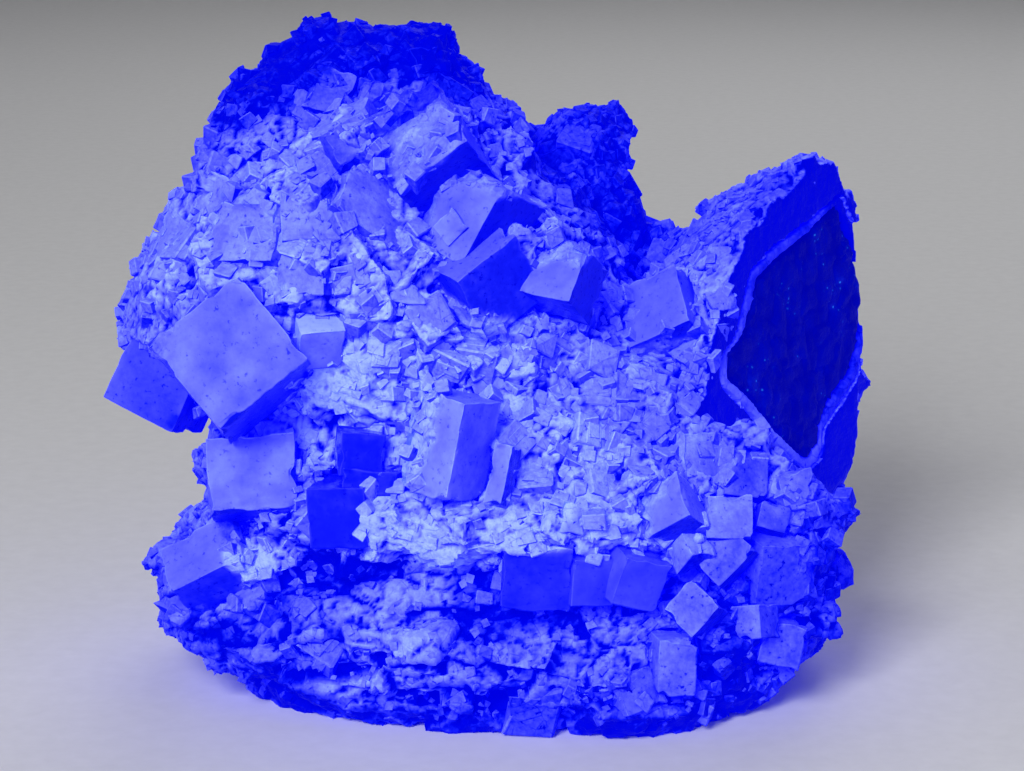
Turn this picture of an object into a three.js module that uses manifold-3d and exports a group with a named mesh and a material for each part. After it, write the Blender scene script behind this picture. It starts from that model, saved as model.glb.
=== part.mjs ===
// A fluorite specimen: one crust of grown-together cubic crystals on massive fluorite, a lump of
// dark host rock broken through at the right and at the back, the pale vein band around that
// rock, and the large cubes that stand out of the crust as crystals of their own.
// Millimetres, +Z up, +X to the right seen from the front, the front faces -Y, and the origin is
// on the floor under the middle of the whole specimen.

import * as THREE from "three";
import { mergeVertices } from "three/addons/utils/BufferGeometryUtils.js";
import Module from "manifold-3d";

const wasm = await Module();
wasm.setup();

// Driving dimensions.
const FIT_GAP = 0.3; // clearance between two pieces that touch
const VEIN_WIDTH = 2.2; // thickness of the pale band around the host rock
const SECTION_SQUARENESS = 2.5; // 2 is an ellipse, more is squarer
const CRUST_SIDES = 22; // corners of one horizontal section
const BACK_DEPTH = 33; // the specimen was broken off its vein at this depth
const CUBE_SEED = 71;
const MASS_SEED = 11;
const CROWDING = 0.52; // closest two small cubes grow, as a share of their summed edges
const LEAN = [-29, 29]; // how far a small cube leans off the face it grew on
const STEEPEST_UNDERSIDE = -0.75; // no small cubes on faces that look further down than this
const TRIES = 40;
const CRACK_SIDES = 12;
const CRACK_DEPTH = 0.35; // how deep a crack runs for its width

// The masses of the crust, as horizontal sections: height, left, right, front, back.
const MASSES = [
  {
    name: "left lobe and base",
    roughness: 1.3,
    sections: [
      [-3, -35, 46, -29, 30],
      [4, -43, 52, -32, 33],
      [11, -53, 57, -32, 35],
      [18, -53, 59, -29, 35],
      [24, -47, 60, -27, 35],
      [30, -45, 58, -30, 34],
      [35, -45, 57, -31, 34],
      [41, -45, 52, -27, 34],
      [47, -46, 46, -25, 34],
      [53, -54, 36, -24, 34],
      [59, -57, 28, -25, 33],
      [65, -56, 24, -25, 33],
      [71, -53, 21, -23, 32],
      [78, -47, 14, -18, 30],
      [85, -45, 7, -13, 28],
      [92, -43, 3, -8, 25],
      [97, -39.5, -3.5, -3, 22],
      [101.5, -34, -6.5, 1, 18],
      [105, -26, -11, 5, 12],
    ],
  },
  {
    name: "rear peak",
    roughness: 1,
    sections: [
      [40, 4, 30, 4, 36],
      [55, 3, 29, 6, 38],
      [64, 4, 28, 9, 37],
      [72, 5, 26, 12, 36],
      [80, 6, 23.5, 15, 34],
      [85.5, 9, 22, 18, 32],
      [89.5, 12, 19.5, 21, 29],
    ],
  },
  {
    name: "right wall",
    roughness: 0.8,
    sections: [
      [14, 20, 58, -24, 28],
      [25, 20, 61, -25, 30],
      [35, 22, 64, -22, 31],
      [43, 24, 65, -18, 30],
      [50, 26, 66, -17, 30],
      [56, 26.5, 66, -15.5, 29],
      [62, 27, 65.5, -12, 28],
      [67, 29, 64.5, -9, 27],
      [71, 34.5, 63.5, -5, 26],
      [75.5, 39, 61.5, 1, 25],
      [79, 44.5, 59, 8, 24],
      [82, 51, 57, 13, 21],
    ],
  },
];

// Bosses and hollows: a place, how far around it they reach, and how far they push out (or in).
const SWELLINGS = [
  { name: "ledge lip", at: [2, -33, 32], reach: [20, 20, 5], push: 5 },
  { name: "shadow under the lip", at: [8, -31, 24], reach: [17, 20, 4.5], push: -6 },
  { name: "foot of the base", at: [22, -32, 8], reach: [18, 20, 10], push: 4 },
  { name: "hollow under the big cube", at: [-30, -26, 45], reach: [13, 18, 5], push: -9 },
  { name: "left notch", at: [-47, -5, 46], reach: [9, 30, 6], push: -4 },
  { name: "druse hollow", at: [2, -25, 56], reach: [15, 20, 8], push: -3.5 },
  { name: "gully beside the wall", at: [21, -20, 62], reach: [5, 20, 12], push: -8 },
  { name: "shoulder below the top", at: [-26, -18, 78], reach: [14, 20, 9], push: 3.5 },
  { name: "dent behind the top cube", at: [4, -6, 88], reach: [6, 14, 8], push: -3 },
  { name: "low right bulge", at: [40, -26, 22], reach: [12, 14, 12], push: 4 },
  { name: "left base shelf", at: [-44, -20, 18], reach: [12, 14, 6], push: 3 },
  { name: "waist above the base shelf", at: [-44, -20, 28], reach: [12, 20, 4], push: -4 },
  { name: "back hollow", at: [-20, 36, 62], reach: [16, 16, 18], push: -6 },
  { name: "back boss", at: [-34, 34, 30], reach: [14, 16, 12], push: 3 },
];

// The broken face at the right: a point on it and the way it faces. Outlines on it are drawn as
// (along, up) pairs from that point.
const BREAK_POINT = new THREE.Vector3(50, 5, 58);
const BREAK_NORMAL = new THREE.Vector3(0.77, -0.64, 0.1).normalize();
const BREAK_OUTLINE = [
  [-60, 20], [-40, -6], [-24, -12], [-11, -19], [-2, -26], [12, -34], [60, -46], [60, 60], [-60, 60],
];
const BREAK_SWEEP = [16, -80, 12];
const ROCK_OUTLINE = [
  [15, 17], [5, 13], [-3, 10.5], [-9, 8], [-10, 5.5], [-13.5, 0], [-18, -2.5], [-18.5, -6],
  [-12, -11], [-7, -16.5], [1.5, -23.5], [5.5, -22], [7, -17], [12.5, -14], [16.5, -11.5],
  [20, -5], [21.5, 1], [20, 6], [18, 11],
];
// How the rock narrows on its way through to the back: depth, share of its outline, drop.
const ROCK_COURSE = [[-4, 1, 0], [12, 0.95, 1], [26, 0.8, 3], [40, 0.62, 5], [66, 0.5, 6]];

const COLOURS = {
  crust: "#7a86fb",
  band: "#5a5cf4",
  rock: "#0a0d62",
  face: "#6d74fb",
  pale: "#93a6fd",
  deep: "#2b36f2",
};

// The large crystals: middle, edge lengths, the way the front face looks (bearing to the right
// of straight ahead, rise above level) and its spin. Cubes of one crystal group are fused.
const CRYSTALS = [
  { name: "crystal_great_left", colour: "face", cubes: [
    { at: [-37.8, -23, 57.3], edge: [15.8, 17, 16.8], look: [-4, 30], spin: 49 }] },
  { name: "crystal_far_left", colour: "face", cubes: [
    { at: [-50.3, -5, 50.5], edge: 13, look: [-16, 14], spin: 22 }] },
  { name: "crystal_low_left", colour: "face", cubes: [
    { at: [-35.7, -17, 37], edge: [14, 12, 12], look: [-3, 28], spin: -5 }] },
  { name: "crystal_left_shelf", colour: "face", cubes: [
    { at: [-42.5, -18.5, 23.5], edge: [13, 9, 9], look: [-34, 42], spin: -40 }] },
  { name: "crystal_step_pair", colour: "pale", cubes: [
    { at: [-25.2, -22.5, 61.5], edge: 7.2, look: [14, -26], spin: -2 },
    { at: [-28.5, -19.5, 67.5], edge: 6.5, look: [4, 20], spin: 8 }] },
  { name: "crystal_centre", colour: "face", cubes: [
    { at: [-7, -30, 46.5], edge: [13, 13, 15], look: [-17, 14], spin: 4 }] },
  { name: "crystal_splinter", colour: "pale", cubes: [
    { at: [3, -31.5, 42], edge: [3, 5, 9.5], look: [-18, 16], spin: 7 }] },
  { name: "crystal_pocket_group", colour: "deep", cubes: [
    { at: [-21, -23, 35], edge: 9.6, look: [-16, 2], spin: -5 },
    { at: [-19, -24, 43.5], edge: 7, look: [10, 6], spin: 6 },
    { at: [-17, -26, 39.5], edge: [9, 6, 4], look: [0, 10], spin: 4 }] },
  { name: "crystal_right_middle", colour: "pale", cubes: [
    { at: [29, -28, 35], edge: 8, look: [-36, 30], spin: -34 }] },
  { name: "crystal_top", colour: "face", cubes: [
    { at: [-11, -10, 90.5], edge: 13.5, look: [-17, 27], spin: -40 }] },
  { name: "crystal_upper_group", colour: "face", cubes: [
    { at: [-1.5, -14, 78], edge: 13.5, look: [-34, 23], spin: 19 },
    { at: [-4, -19.5, 77.5], edge: 4.5, look: [-30, 20], spin: 40 },
    { at: [-0.5, -19.5, 67.5], edge: 12, look: [22, 4], spin: -33 },
    { at: [12, -19, 68.5], edge: 9.4, look: [-22, 30], spin: 8 }] },
  { name: "crystal_saddle", colour: "face", cubes: [
    { at: [29, -5, 60], edge: 11, look: [-34, 30], spin: -32 }] },
  { name: "crystal_ledge_row", colour: "deep", cubes: [
    { at: [8.5, -27.5, 26.5], edge: 11, look: [-5, -6], spin: 3 },
    { at: [16, -29, 25], edge: 7.6, look: [18, 4], spin: 5 },
    { at: [23, -30, 25.5], edge: 8, look: [18, -4], spin: 17 }] },
  { name: "crystal_right_cluster", colour: "face", cubes: [
    { at: [37.5, -25.5, 32.5], edge: 7.4, look: [4, 36], spin: 3 },
    { at: [44.5, -23, 32.5], edge: 5, look: [12, 30], spin: 20 },
    { at: [39.5, -20, 38], edge: 7.5, look: [20, 30], spin: 12 },
    { at: [37, -27, 27.5], edge: 8, look: [-14, 26], spin: -50 },
    { at: [45, -22.5, 25], edge: 10, look: [18, 0], spin: 4 }] },
  { name: "crystal_front_diamond", colour: "face", cubes: [
    { at: [32.5, -32, 20.5], edge: 6.4, look: [-16, 26], spin: -52 }] },
  { name: "crystal_low_right", colour: "face", cubes: [
    { at: [46, -24, 13], edge: 7, look: [8, 6], spin: 16 },
    { at: [42, -28.5, 17.5], edge: 5.4, look: [-40, 14], spin: -16 }] },
  { name: "crystal_front_low", colour: "pale", cubes: [
    { at: [29, -31.5, 12], edge: [6.4, 7, 9], look: [12, 4], spin: 4 }] },
  { name: "crystal_back_low", colour: "face", cubes: [
    { at: [-36, 31, 34], edge: 12, look: [200, 12], spin: 24 }] },
  { name: "crystal_left_side", colour: "face", cubes: [
    { at: [-52, 12, 62], edge: 10, look: [-96, 16], spin: 30 }] },
];

// Where small cubes crowd the crust: heights, sides, edge lengths, how flat the blocks lie (1 is a
// cube turned any way), how far they stand proud, and how many.
const DRUSES = [
  { name: "upper lobe", height: [62, 104], across: [-62, 8], edge: [5, 8.5], flat: 1, proud: [1, 2.8], count: 38 },
  { name: "middle druse", height: [30, 74], across: [-50, 34], edge: [4.5, 7], flat: 1, proud: [1, 2.2], count: 40 },
  { name: "right wall", height: [36, 84], across: [24, 62], edge: [4, 6], flat: 1, proud: [1, 2], count: 22 },
  { name: "rear peak", height: [58, 90], across: [2, 28], edge: [5, 8], flat: 1, proud: [1, 2.5], count: 12 },
  { name: "base", height: [3, 30], across: [-56, 60], edge: [9, 16], flat: 0.35, proud: [0.8, 1.8], count: 22 },
];

// Open cleavage cracks across the massive base: middle, width, opening and lean.
const CRACKS = [
  { at: [-24, -33, 19], width: 34, opening: 1.6, lean: -4 },
  { at: [-14, -34, 12], width: 46, opening: 1.8, lean: 3 },
  { at: [6, -36, 15.5], width: 24, opening: 1.4, lean: -7 },
  { at: [-8, -33, 5.5], width: 40, opening: 1.6, lean: 2 },
  { at: [14, -37, 8], width: 18, opening: 1.5, lean: 12 },
  { at: [48, -16, 40], width: 16, opening: 1.5, lean: -24 },
];

function randomFrom(seed) {
  let state = seed >>> 0;
  return () => {
    state = (state + 0x6d2b79f5) >>> 0;
    let t = Math.imul(state ^ (state >>> 15), state | 1);
    t ^= t + Math.imul(t ^ (t >>> 7), t | 61);
    return ((t ^ (t >>> 14)) >>> 0) / 4294967296;
  };
}

function solidOf(geometry) {
  const bare = geometry.index ? geometry.toNonIndexed() : geometry.clone();
  bare.deleteAttribute("normal");
  bare.deleteAttribute("uv");
  const merged = mergeVertices(bare, 1e-4);
  return new wasm.Manifold(
    new wasm.Mesh({
      numProp: 3,
      vertProperties: merged.attributes.position.array,
      triVerts: new Uint32Array(merged.index.array),
    }),
  );
}

// The largest closed body of a solid, without the slivers that a cut leaves beside it.
function geometryOf(solid) {
  const mesh = solid.getMesh();
  const corner = (i) => new THREE.Vector3().fromArray(mesh.vertProperties, i * mesh.numProp);
  const leader = Array.from({ length: mesh.numVert }, (_, i) => i);
  const leaderOf = (i) => {
    while (leader[i] !== i) i = leader[i];
    return i;
  };
  const triangles = [];
  for (let t = 0; t < mesh.triVerts.length; t += 3) {
    const triangle = [...mesh.triVerts.subarray(t, t + 3)];
    triangles.push(triangle);
    for (const other of triangle.slice(1)) leader[leaderOf(other)] = leaderOf(triangle[0]);
  }
  const volumes = new Map();
  for (const [a, b, c] of triangles) {
    const share = corner(a).dot(corner(b).cross(corner(c))) / 6;
    volumes.set(leaderOf(a), (volumes.get(leaderOf(a)) ?? 0) + share);
  }
  const largest = [...volumes].sort((a, b) => b[1] - a[1])[0][0];
  const kept = triangles.filter(([a]) => leaderOf(a) === largest).flat();
  const geometry = new THREE.BufferGeometry();
  const positions = kept.flatMap((i) => corner(i).toArray());
  geometry.setAttribute("position", new THREE.BufferAttribute(new Float32Array(positions), 3));
  return mergeVertices(geometry, 1e-5);
}

// A closed solid through a stack of rings that all have the same number of corners.
function loft(rings) {
  const positions = [];
  const triangle = (...corners) => corners.forEach((p) => positions.push(...p));
  const sides = rings[0].length;
  for (let k = 0; k + 1 < rings.length; k++) {
    for (let i = 0; i < sides; i++) {
      const j = (i + 1) % sides;
      const [low, high] = [rings[k], rings[k + 1]];
      if (k % 2 === 0) {
        triangle(low[i], low[j], high[i]);
        triangle(low[j], high[j], high[i]);
      } else {
        triangle(low[i], low[j], high[j]);
        triangle(low[i], high[j], high[i]);
      }
    }
  }
  const middle = (ring) => [0, 1, 2].map((c) => ring.reduce((sum, p) => sum + p[c], 0) / sides);
  const [first, last] = [rings[0], rings[rings.length - 1]];
  for (let i = 0; i < sides; i++) {
    const j = (i + 1) % sides;
    triangle(middle(first), first[j], first[i]);
    triangle(middle(last), last[i], last[j]);
  }
  const geometry = new THREE.BufferGeometry();
  geometry.setAttribute("position", new THREE.BufferAttribute(new Float32Array(positions), 3));
  return solidOf(geometry);
}

function swellingAt(x, y, z) {
  return SWELLINGS.reduce((sum, { at, reach, push }) => {
    const far = ((x - at[0]) / reach[0]) ** 2 + ((y - at[1]) / reach[1]) ** 2 + ((z - at[2]) / reach[2]) ** 2;
    return sum + push * Math.exp(-far);
  }, 0);
}

// One mass: squarish sections, pushed in and out by the swellings and roughened corner by corner.
function massOf({ sections, roughness }, seed) {
  const random = randomFrom(seed);
  const rings = sections.map(([z, left, right, front, back], k) => {
    const ring = [];
    for (let i = 0; i < CRUST_SIDES; i++) {
      const turn = (2 * Math.PI * (i + 0.5 * (k % 2))) / CRUST_SIDES;
      const [c, s] = [Math.cos(turn), Math.sin(turn)];
      const squared = (t) => Math.sign(t) * Math.abs(t) ** (2 / SECTION_SQUARENESS);
      const x = (left + right) / 2 + (squared(c) * (right - left)) / 2;
      const y = (front + back) / 2 + (squared(s) * (back - front)) / 2;
      const out = swellingAt(x, y, z) + roughness * (2 * random() - 1);
      ring.push([x + c * out, y + s * out, z + roughness * (random() - 0.5)]);
    }
    return ring;
  });
  return loft(rings);
}

// A box turned so that its front face looks along a bearing and a rise, and spins in its plane.
function cubeOf({ at, edge, look, spin }, grow = 0) {
  const edges = (Array.isArray(edge) ? edge : [edge, edge, edge]).map((e) => e + 2 * grow);
  const box = new THREE.BoxGeometry(...edges);
  const [bearing, rise, turn] = [look[0], -look[1], spin].map(THREE.MathUtils.degToRad);
  box.applyMatrix4(new THREE.Matrix4().makeRotationFromEuler(new THREE.Euler(rise, turn, bearing, "ZXY")));
  box.translate(...at);
  return solidOf(box);
}

function groupOf({ cubes }, grow = 0) {
  return cubes.map((cube) => cubeOf(cube, grow)).reduce((sum, cube) => sum.add(cube));
}

// A point on the broken face or at a depth behind it.
const ALONG = new THREE.Vector3(0, 0, 1).cross(BREAK_NORMAL).normalize();
const UP = BREAK_NORMAL.clone().cross(ALONG);
function behindBreak([along, up], depth) {
  return BREAK_POINT.clone()
    .addScaledVector(ALONG, along)
    .addScaledVector(UP, up)
    .addScaledVector(BREAK_NORMAL, -depth)
    .toArray();
}

// All that fell away in front of the broken face, swept straight off the front.
function breakSolid() {
  const onFace = BREAK_OUTLINE.map((p) => behindBreak(p, 0));
  return loft([onFace, onFace.map(([x, y, z]) => [x + BREAK_SWEEP[0], y + BREAK_SWEEP[1], z + BREAK_SWEEP[2]])]);
}

// The host rock's lens, from in front of the broken face through to the back.
function rockSolid(grow) {
  const rings = ROCK_COURSE.map(([depth, share, drop]) =>
    ROCK_OUTLINE.map(([along, up]) => {
      const far = Math.hypot(along, up);
      const stretch = share + grow / far;
      return behindBreak([along * stretch, up * stretch - drop], depth);
    }),
  );
  return loft(rings.map((ring) => ring.reverse()));
}

// Small cubes on the faces of a body: each is sunk into it and leans a little off its face.
const within = (value, [low, high]) => value > low && value < high;
function druseOn(body) {
  const random = randomFrom(CUBE_SEED);
  const between = ([low, high]) => low + (high - low) * random();
  const mesh = body.getMesh();
  const corner = (i) => new THREE.Vector3().fromArray(mesh.vertProperties, i * mesh.numProp);
  const faces = [];
  for (let t = 0; t < mesh.triVerts.length; t += 3) {
    const face = new THREE.Triangle(...[...mesh.triVerts.subarray(t, t + 3)].map(corner));
    const middle = face.getMidpoint(new THREE.Vector3());
    faces.push({ face, middle, area: face.getArea(), normal: face.getNormal(new THREE.Vector3()) });
  }
  const cubes = [];
  for (const { height, across, edge, flat, proud, count } of DRUSES) {
    const here = faces.filter(
      ({ middle, normal }) =>
        within(middle.z, height) && within(middle.x, across) && normal.z > STEEPEST_UNDERSIDE,
    );
    const total = here.reduce((sum, { area }) => sum + area, 0);
    let grown = 0;
    for (let tries = 0; grown < count && tries < TRIES * count; tries++) {
      let pick = random() * total;
      const { face, normal } = here.find(({ area }) => (pick -= area) < 0) ?? here[0];
      let [a, b] = [random(), random()];
      if (a + b > 1) [a, b] = [1 - a, 1 - b];
      const place = face.a.clone().multiplyScalar(1 - a - b).addScaledVector(face.b, a).addScaledVector(face.c, b);
      const size = between(edge);
      if (cubes.some((cube) => place.distanceTo(cube.place) < CROWDING * (size + cube.size))) continue;
      const bearing = THREE.MathUtils.radToDeg(Math.atan2(normal.x, -normal.y));
      const rise = THREE.MathUtils.radToDeg(Math.asin(normal.z));
      const edges = [size, size * between([0.75, 1]), size * flat * between([0.8, 1])];
      const middle = place.clone().addScaledVector(normal, between(proud) - edges[1] / 2);
      cubes.push({
        place,
        size,
        at: middle.toArray(),
        edge: edges,
        look: [bearing + between(LEAN), (rise + between(LEAN)) * flat],
        spin: between([-45, 45]) * flat,
      });
      grown++;
    }
  }
  return cubes.map((cube) => cubeOf(cube));
}

function crackSolid({ at, width, opening, lean }) {
  const lens = new THREE.CylinderGeometry(width / 2, width / 2, opening, CRACK_SIDES);
  lens.rotateX(Math.PI / 2);
  lens.scale(1, CRACK_DEPTH, 1);
  lens.rotateY(THREE.MathUtils.degToRad(lean));
  lens.translate(...at);
  return solidOf(lens);
}

function slab(size, at) {
  const box = new THREE.BoxGeometry(...size);
  box.translate(...at);
  return solidOf(box);
}

// Joined in pairs, so that each join stays small.
function join(solids) {
  if (solids.length === 1) return solids[0];
  const half = Math.ceil(solids.length / 2);
  return join(solids.slice(0, half)).add(join(solids.slice(half)));
}

const bareBody = join(MASSES.map((mass, k) => massOf(mass, MASS_SEED + k)));
const outside = join([
  slab([400, 400, 100], [0, 0, -50]),
  slab([400, 60, 400], [0, BACK_DEPTH + 30, 150]),
  breakSolid(),
]);
const grown = join([bareBody, ...druseOn(bareBody)])
  .subtract(outside)
  .subtract(join(CRACKS.map(crackSolid)));

const specimen = new THREE.Group();

function addPiece(name, solid, colour, roughness) {
  const material = new THREE.MeshStandardMaterial({ color: colour, roughness, metalness: 0 });
  const mesh = new THREE.Mesh(geometryOf(solid), material);
  mesh.name = name;
  specimen.add(mesh);
}

// Each large crystal leaves a pocket in everything that comes after it.
let pockets = slab([1, 1, 1], [0, 0, -10]);
for (const group of CRYSTALS) {
  addPiece(group.name, groupOf(group).subtract(pockets), COLOURS[group.colour], 0.3);
  pockets = pockets.add(groupOf(group, FIT_GAP));
}
const rock = rockSolid(0).intersect(bareBody).subtract(outside);
const band = rockSolid(VEIN_WIDTH).intersect(bareBody).subtract(outside).subtract(rockSolid(FIT_GAP));
const crust = grown.subtract(rockSolid(VEIN_WIDTH + FIT_GAP));
addPiece("crystal_crust", crust.subtract(pockets), COLOURS.crust, 0.45);
addPiece("vein_band", band.subtract(pockets), COLOURS.band, 0.5);
addPiece("host_rock", rock.subtract(pockets), COLOURS.rock, 0.6);

const box = new THREE.Box3().setFromObject(specimen);
specimen.position.set(-(box.min.x + box.max.x) / 2, -(box.min.y + box.max.y) / 2, -box.min.z);

export default specimen;
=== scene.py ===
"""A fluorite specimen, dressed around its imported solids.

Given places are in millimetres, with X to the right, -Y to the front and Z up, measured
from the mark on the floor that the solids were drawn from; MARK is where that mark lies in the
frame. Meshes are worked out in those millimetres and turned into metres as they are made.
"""

import math
from itertools import product

import bmesh
import bpy
import numpy as np
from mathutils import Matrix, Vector, kdtree
from mathutils.bvhtree import BVHTree


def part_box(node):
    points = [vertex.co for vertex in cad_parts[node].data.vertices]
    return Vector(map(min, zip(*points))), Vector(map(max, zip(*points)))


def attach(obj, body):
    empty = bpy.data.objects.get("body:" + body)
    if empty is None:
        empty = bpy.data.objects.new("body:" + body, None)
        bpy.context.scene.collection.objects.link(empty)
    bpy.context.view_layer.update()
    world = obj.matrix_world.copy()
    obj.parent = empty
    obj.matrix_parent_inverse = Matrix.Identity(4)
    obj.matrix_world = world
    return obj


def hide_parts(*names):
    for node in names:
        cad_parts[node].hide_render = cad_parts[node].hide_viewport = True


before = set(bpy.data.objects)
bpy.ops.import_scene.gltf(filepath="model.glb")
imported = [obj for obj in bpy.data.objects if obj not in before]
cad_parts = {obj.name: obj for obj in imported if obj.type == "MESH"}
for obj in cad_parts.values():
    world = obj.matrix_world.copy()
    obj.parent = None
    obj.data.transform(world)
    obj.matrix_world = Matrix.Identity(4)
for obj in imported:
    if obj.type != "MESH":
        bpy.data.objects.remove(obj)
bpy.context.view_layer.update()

MM = 0.001
SHARP_ANGLE = 32

# The large crystals: middle, edge lengths, the way the front face looks (bearing to the right
# of straight ahead, rise above level), its spin and how pale it is. Druse covers what lies
# further than a distance from the middle, in the direction that goes with it. "sugar" is how
# much fine druse lies on the faces that look up toward the light, and so also how much painted
# light they get, and "shade" how pale those that look away stay under their painted shade.
CRYSTALS = [
    {"name": "crystal_great_left", "slot": "crystal", "sugar": 0.2, "cubes": [
        ((-38, -22.6, 57.6), (17.2, 17, 17.2), (-1, 23), 50, 0.48, ((-1, 0, 0.6), 10.2))]},
    {"name": "crystal_far_left", "slot": "crystal", "sugar": 0.1, "cubes": [
        ((-50.3, -5, 50.5), (13, 13, 13), (-16, 14), 22, 0.26, ((1, 0, 0.4), 5.5))]},
    {"name": "crystal_low_left", "slot": "crystal", "sugar": 0.4, "cubes": [
        ((-35.7, -17, 37), (14, 12, 12), (-3, 28), -5, 0.46, ((0.8, 0, -1), 5.0))]},
    {"name": "crystal_left_shelf", "slot": "crystal", "sugar": 0.2, "shade": 0.4, "cubes": [
        ((-42.5, -18.5, 23.5), (13, 9, 9), (-34, 42), -40, 0.42, ((1, 0, 0.3), 3.5))]},
    {"name": "crystal_step_pair", "slot": "pale_crystal", "sugar": 0.4, "cubes": [
        ((-25.2, -22.5, 61.5), (7.2, 7.2, 7.2), (14, -26), -2, 1.5),
        ((-28.5, -19.5, 67.5), (6.5, 6.5, 6.5), (4, 20), 8, 0.45)]},
    {"name": "crystal_centre", "slot": "crystal", "sugar": 0.1, "shade": 0.55, "cubes": [
        ((-5.2, -30, 46.5), (10, 9, 15.5), (-38, 10), 6, 0.62, ((-1, -0.2, 0.3), 3.6))]},
    {"name": "crystal_splinter", "slot": "pale_crystal", "sugar": 0.1, "cubes": [
        ((3, -31.5, 42), (3, 5, 9.5), (-18, 16), 7, 0.6)]},
    {"name": "crystal_pocket_group", "slot": "glassy_crystal", "sugar": 0.02, "cubes": [
        ((-21, -25.5, 34.5), (9.6, 9.6, 9.6), (-16, 2), -5, 0.14),
        ((-19, -24, 43.5), (7, 7, 7), (10, 6), 6, 0.16),
        ((-17, -26, 39.5), (9, 6, 4), (0, 10), 4, 0.2)]},
    {"name": "crystal_right_middle", "slot": "pale_crystal", "sugar": 0.1, "cubes": [
        ((29.2, -28, 35), (8, 8, 8), (-39, 32), -39, 0.55, ((-1, 0, 0.5), 2.6))]},
    {"name": "crystal_top", "slot": "crystal", "sugar": 0.3, "cubes": [
        ((-8.5, -13, 88.5), (13.5, 13.5, 13.5), (-24, 34), -40, 0.32, ((-0.7, -0.2, 0.7), 0.5))]},
    {"name": "crystal_upper_group", "slot": "crystal", "sugar": 0.3, "cubes": [
        ((-1.5, -14, 78), (13.5, 13.5, 13.5), (-34, 23), 19, 0.42, ((-1, 0, 0.2), 5.4), ((0.2, 0, 1), 6)),
        ((-4, -19.5, 77.5), (4.5, 4.5, 4.5), (-30, 20), 40, 0.55),
        ((0, -19.5, 70), (12, 12, 12), (30, -6), -32, 0.24, ((-0.4, 0, -1), 3.6)),
        ((12, -19.5, 69.5), (9.4, 9.4, 9.4), (-24, 34), 6, 0.42, ((-0.2, 0, 1), 3.2))]},
    {"name": "crystal_saddle", "slot": "crystal", "sugar": 0.2, "cubes": [
        ((29.2, -5, 60.4), (11, 11, 11), (-37, 32), -34, 0.36, ((0.3, 0, -1), 1.5), ((1, 0, -0.2), 3.5))]},
    {"name": "crystal_ledge_row", "slot": "glassy_crystal", "sugar": 0.1, "cubes": [
        ((8.5, -27.5, 26.5), (11, 11, 11), (-5, -6), 3, 0.2, ((0, 0, 1), 4.2)),
        ((16, -29, 25), (7.6, 7.6, 7.6), (18, 4), 5, 0.32),
        ((23, -30, 25.5), (8, 8, 8), (18, -4), 17, 0.44)]},
    {"name": "crystal_right_cluster", "slot": "crystal", "finish": "lesser", "sugar": 0.25, "cubes": [
        ((37.5, -25.5, 32.5), (7.4, 7.4, 7.4), (4, 36), 3, 0.55),
        ((44.5, -23, 32.5), (5, 5, 5), (12, 30), 20, 0.3),
        ((39.5, -20, 38), (7.5, 7.5, 7.5), (20, 30), 12, 0.34, ((-1, 0, 0.4), 2.0)),
        ((37, -27, 28), (8, 8, 8), (-15, 26), -50, 0.4),
        ((45, -22.5, 25), (10, 10, 10), (22, -4), 5, 0.4, ((1, 0, 0.3), 4.0))]},
    {"name": "crystal_front_diamond", "slot": "crystal", "finish": "lesser", "sugar": 0.2, "cubes": [
        ((32.5, -32, 20.5), (6.6, 6.6, 6.6), (-17, 27), -53, 0.5)]},
    {"name": "crystal_low_right", "slot": "crystal", "finish": "lesser", "sugar": 0.3, "cubes": [
        ((46, -24, 13), (7, 7, 7), (8, 6), 16, 0.45),
        ((42, -28.5, 17.5), (5.4, 5.4, 5.4), (-40, 14), -16, 0.4)]},
    {"name": "crystal_front_low", "slot": "pale_crystal", "finish": "lesser", "sugar": 0.1, "cubes": [
        ((29, -31.5, 12), (6.4, 7, 9), (12, 4), 4, 0.55)]},
    {"name": "crystal_back_low", "slot": "crystal", "sugar": 0.3, "cubes": [
        ((-36, 31, 34), (12, 12, 12), (200, 12), 24, 0.4)]},
    {"name": "crystal_left_side", "slot": "crystal", "sugar": 0.3, "cubes": [
        ((-52, 12, 62), (10, 10, 10), (-96, 16), 30, 0.4)]},
]


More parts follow.
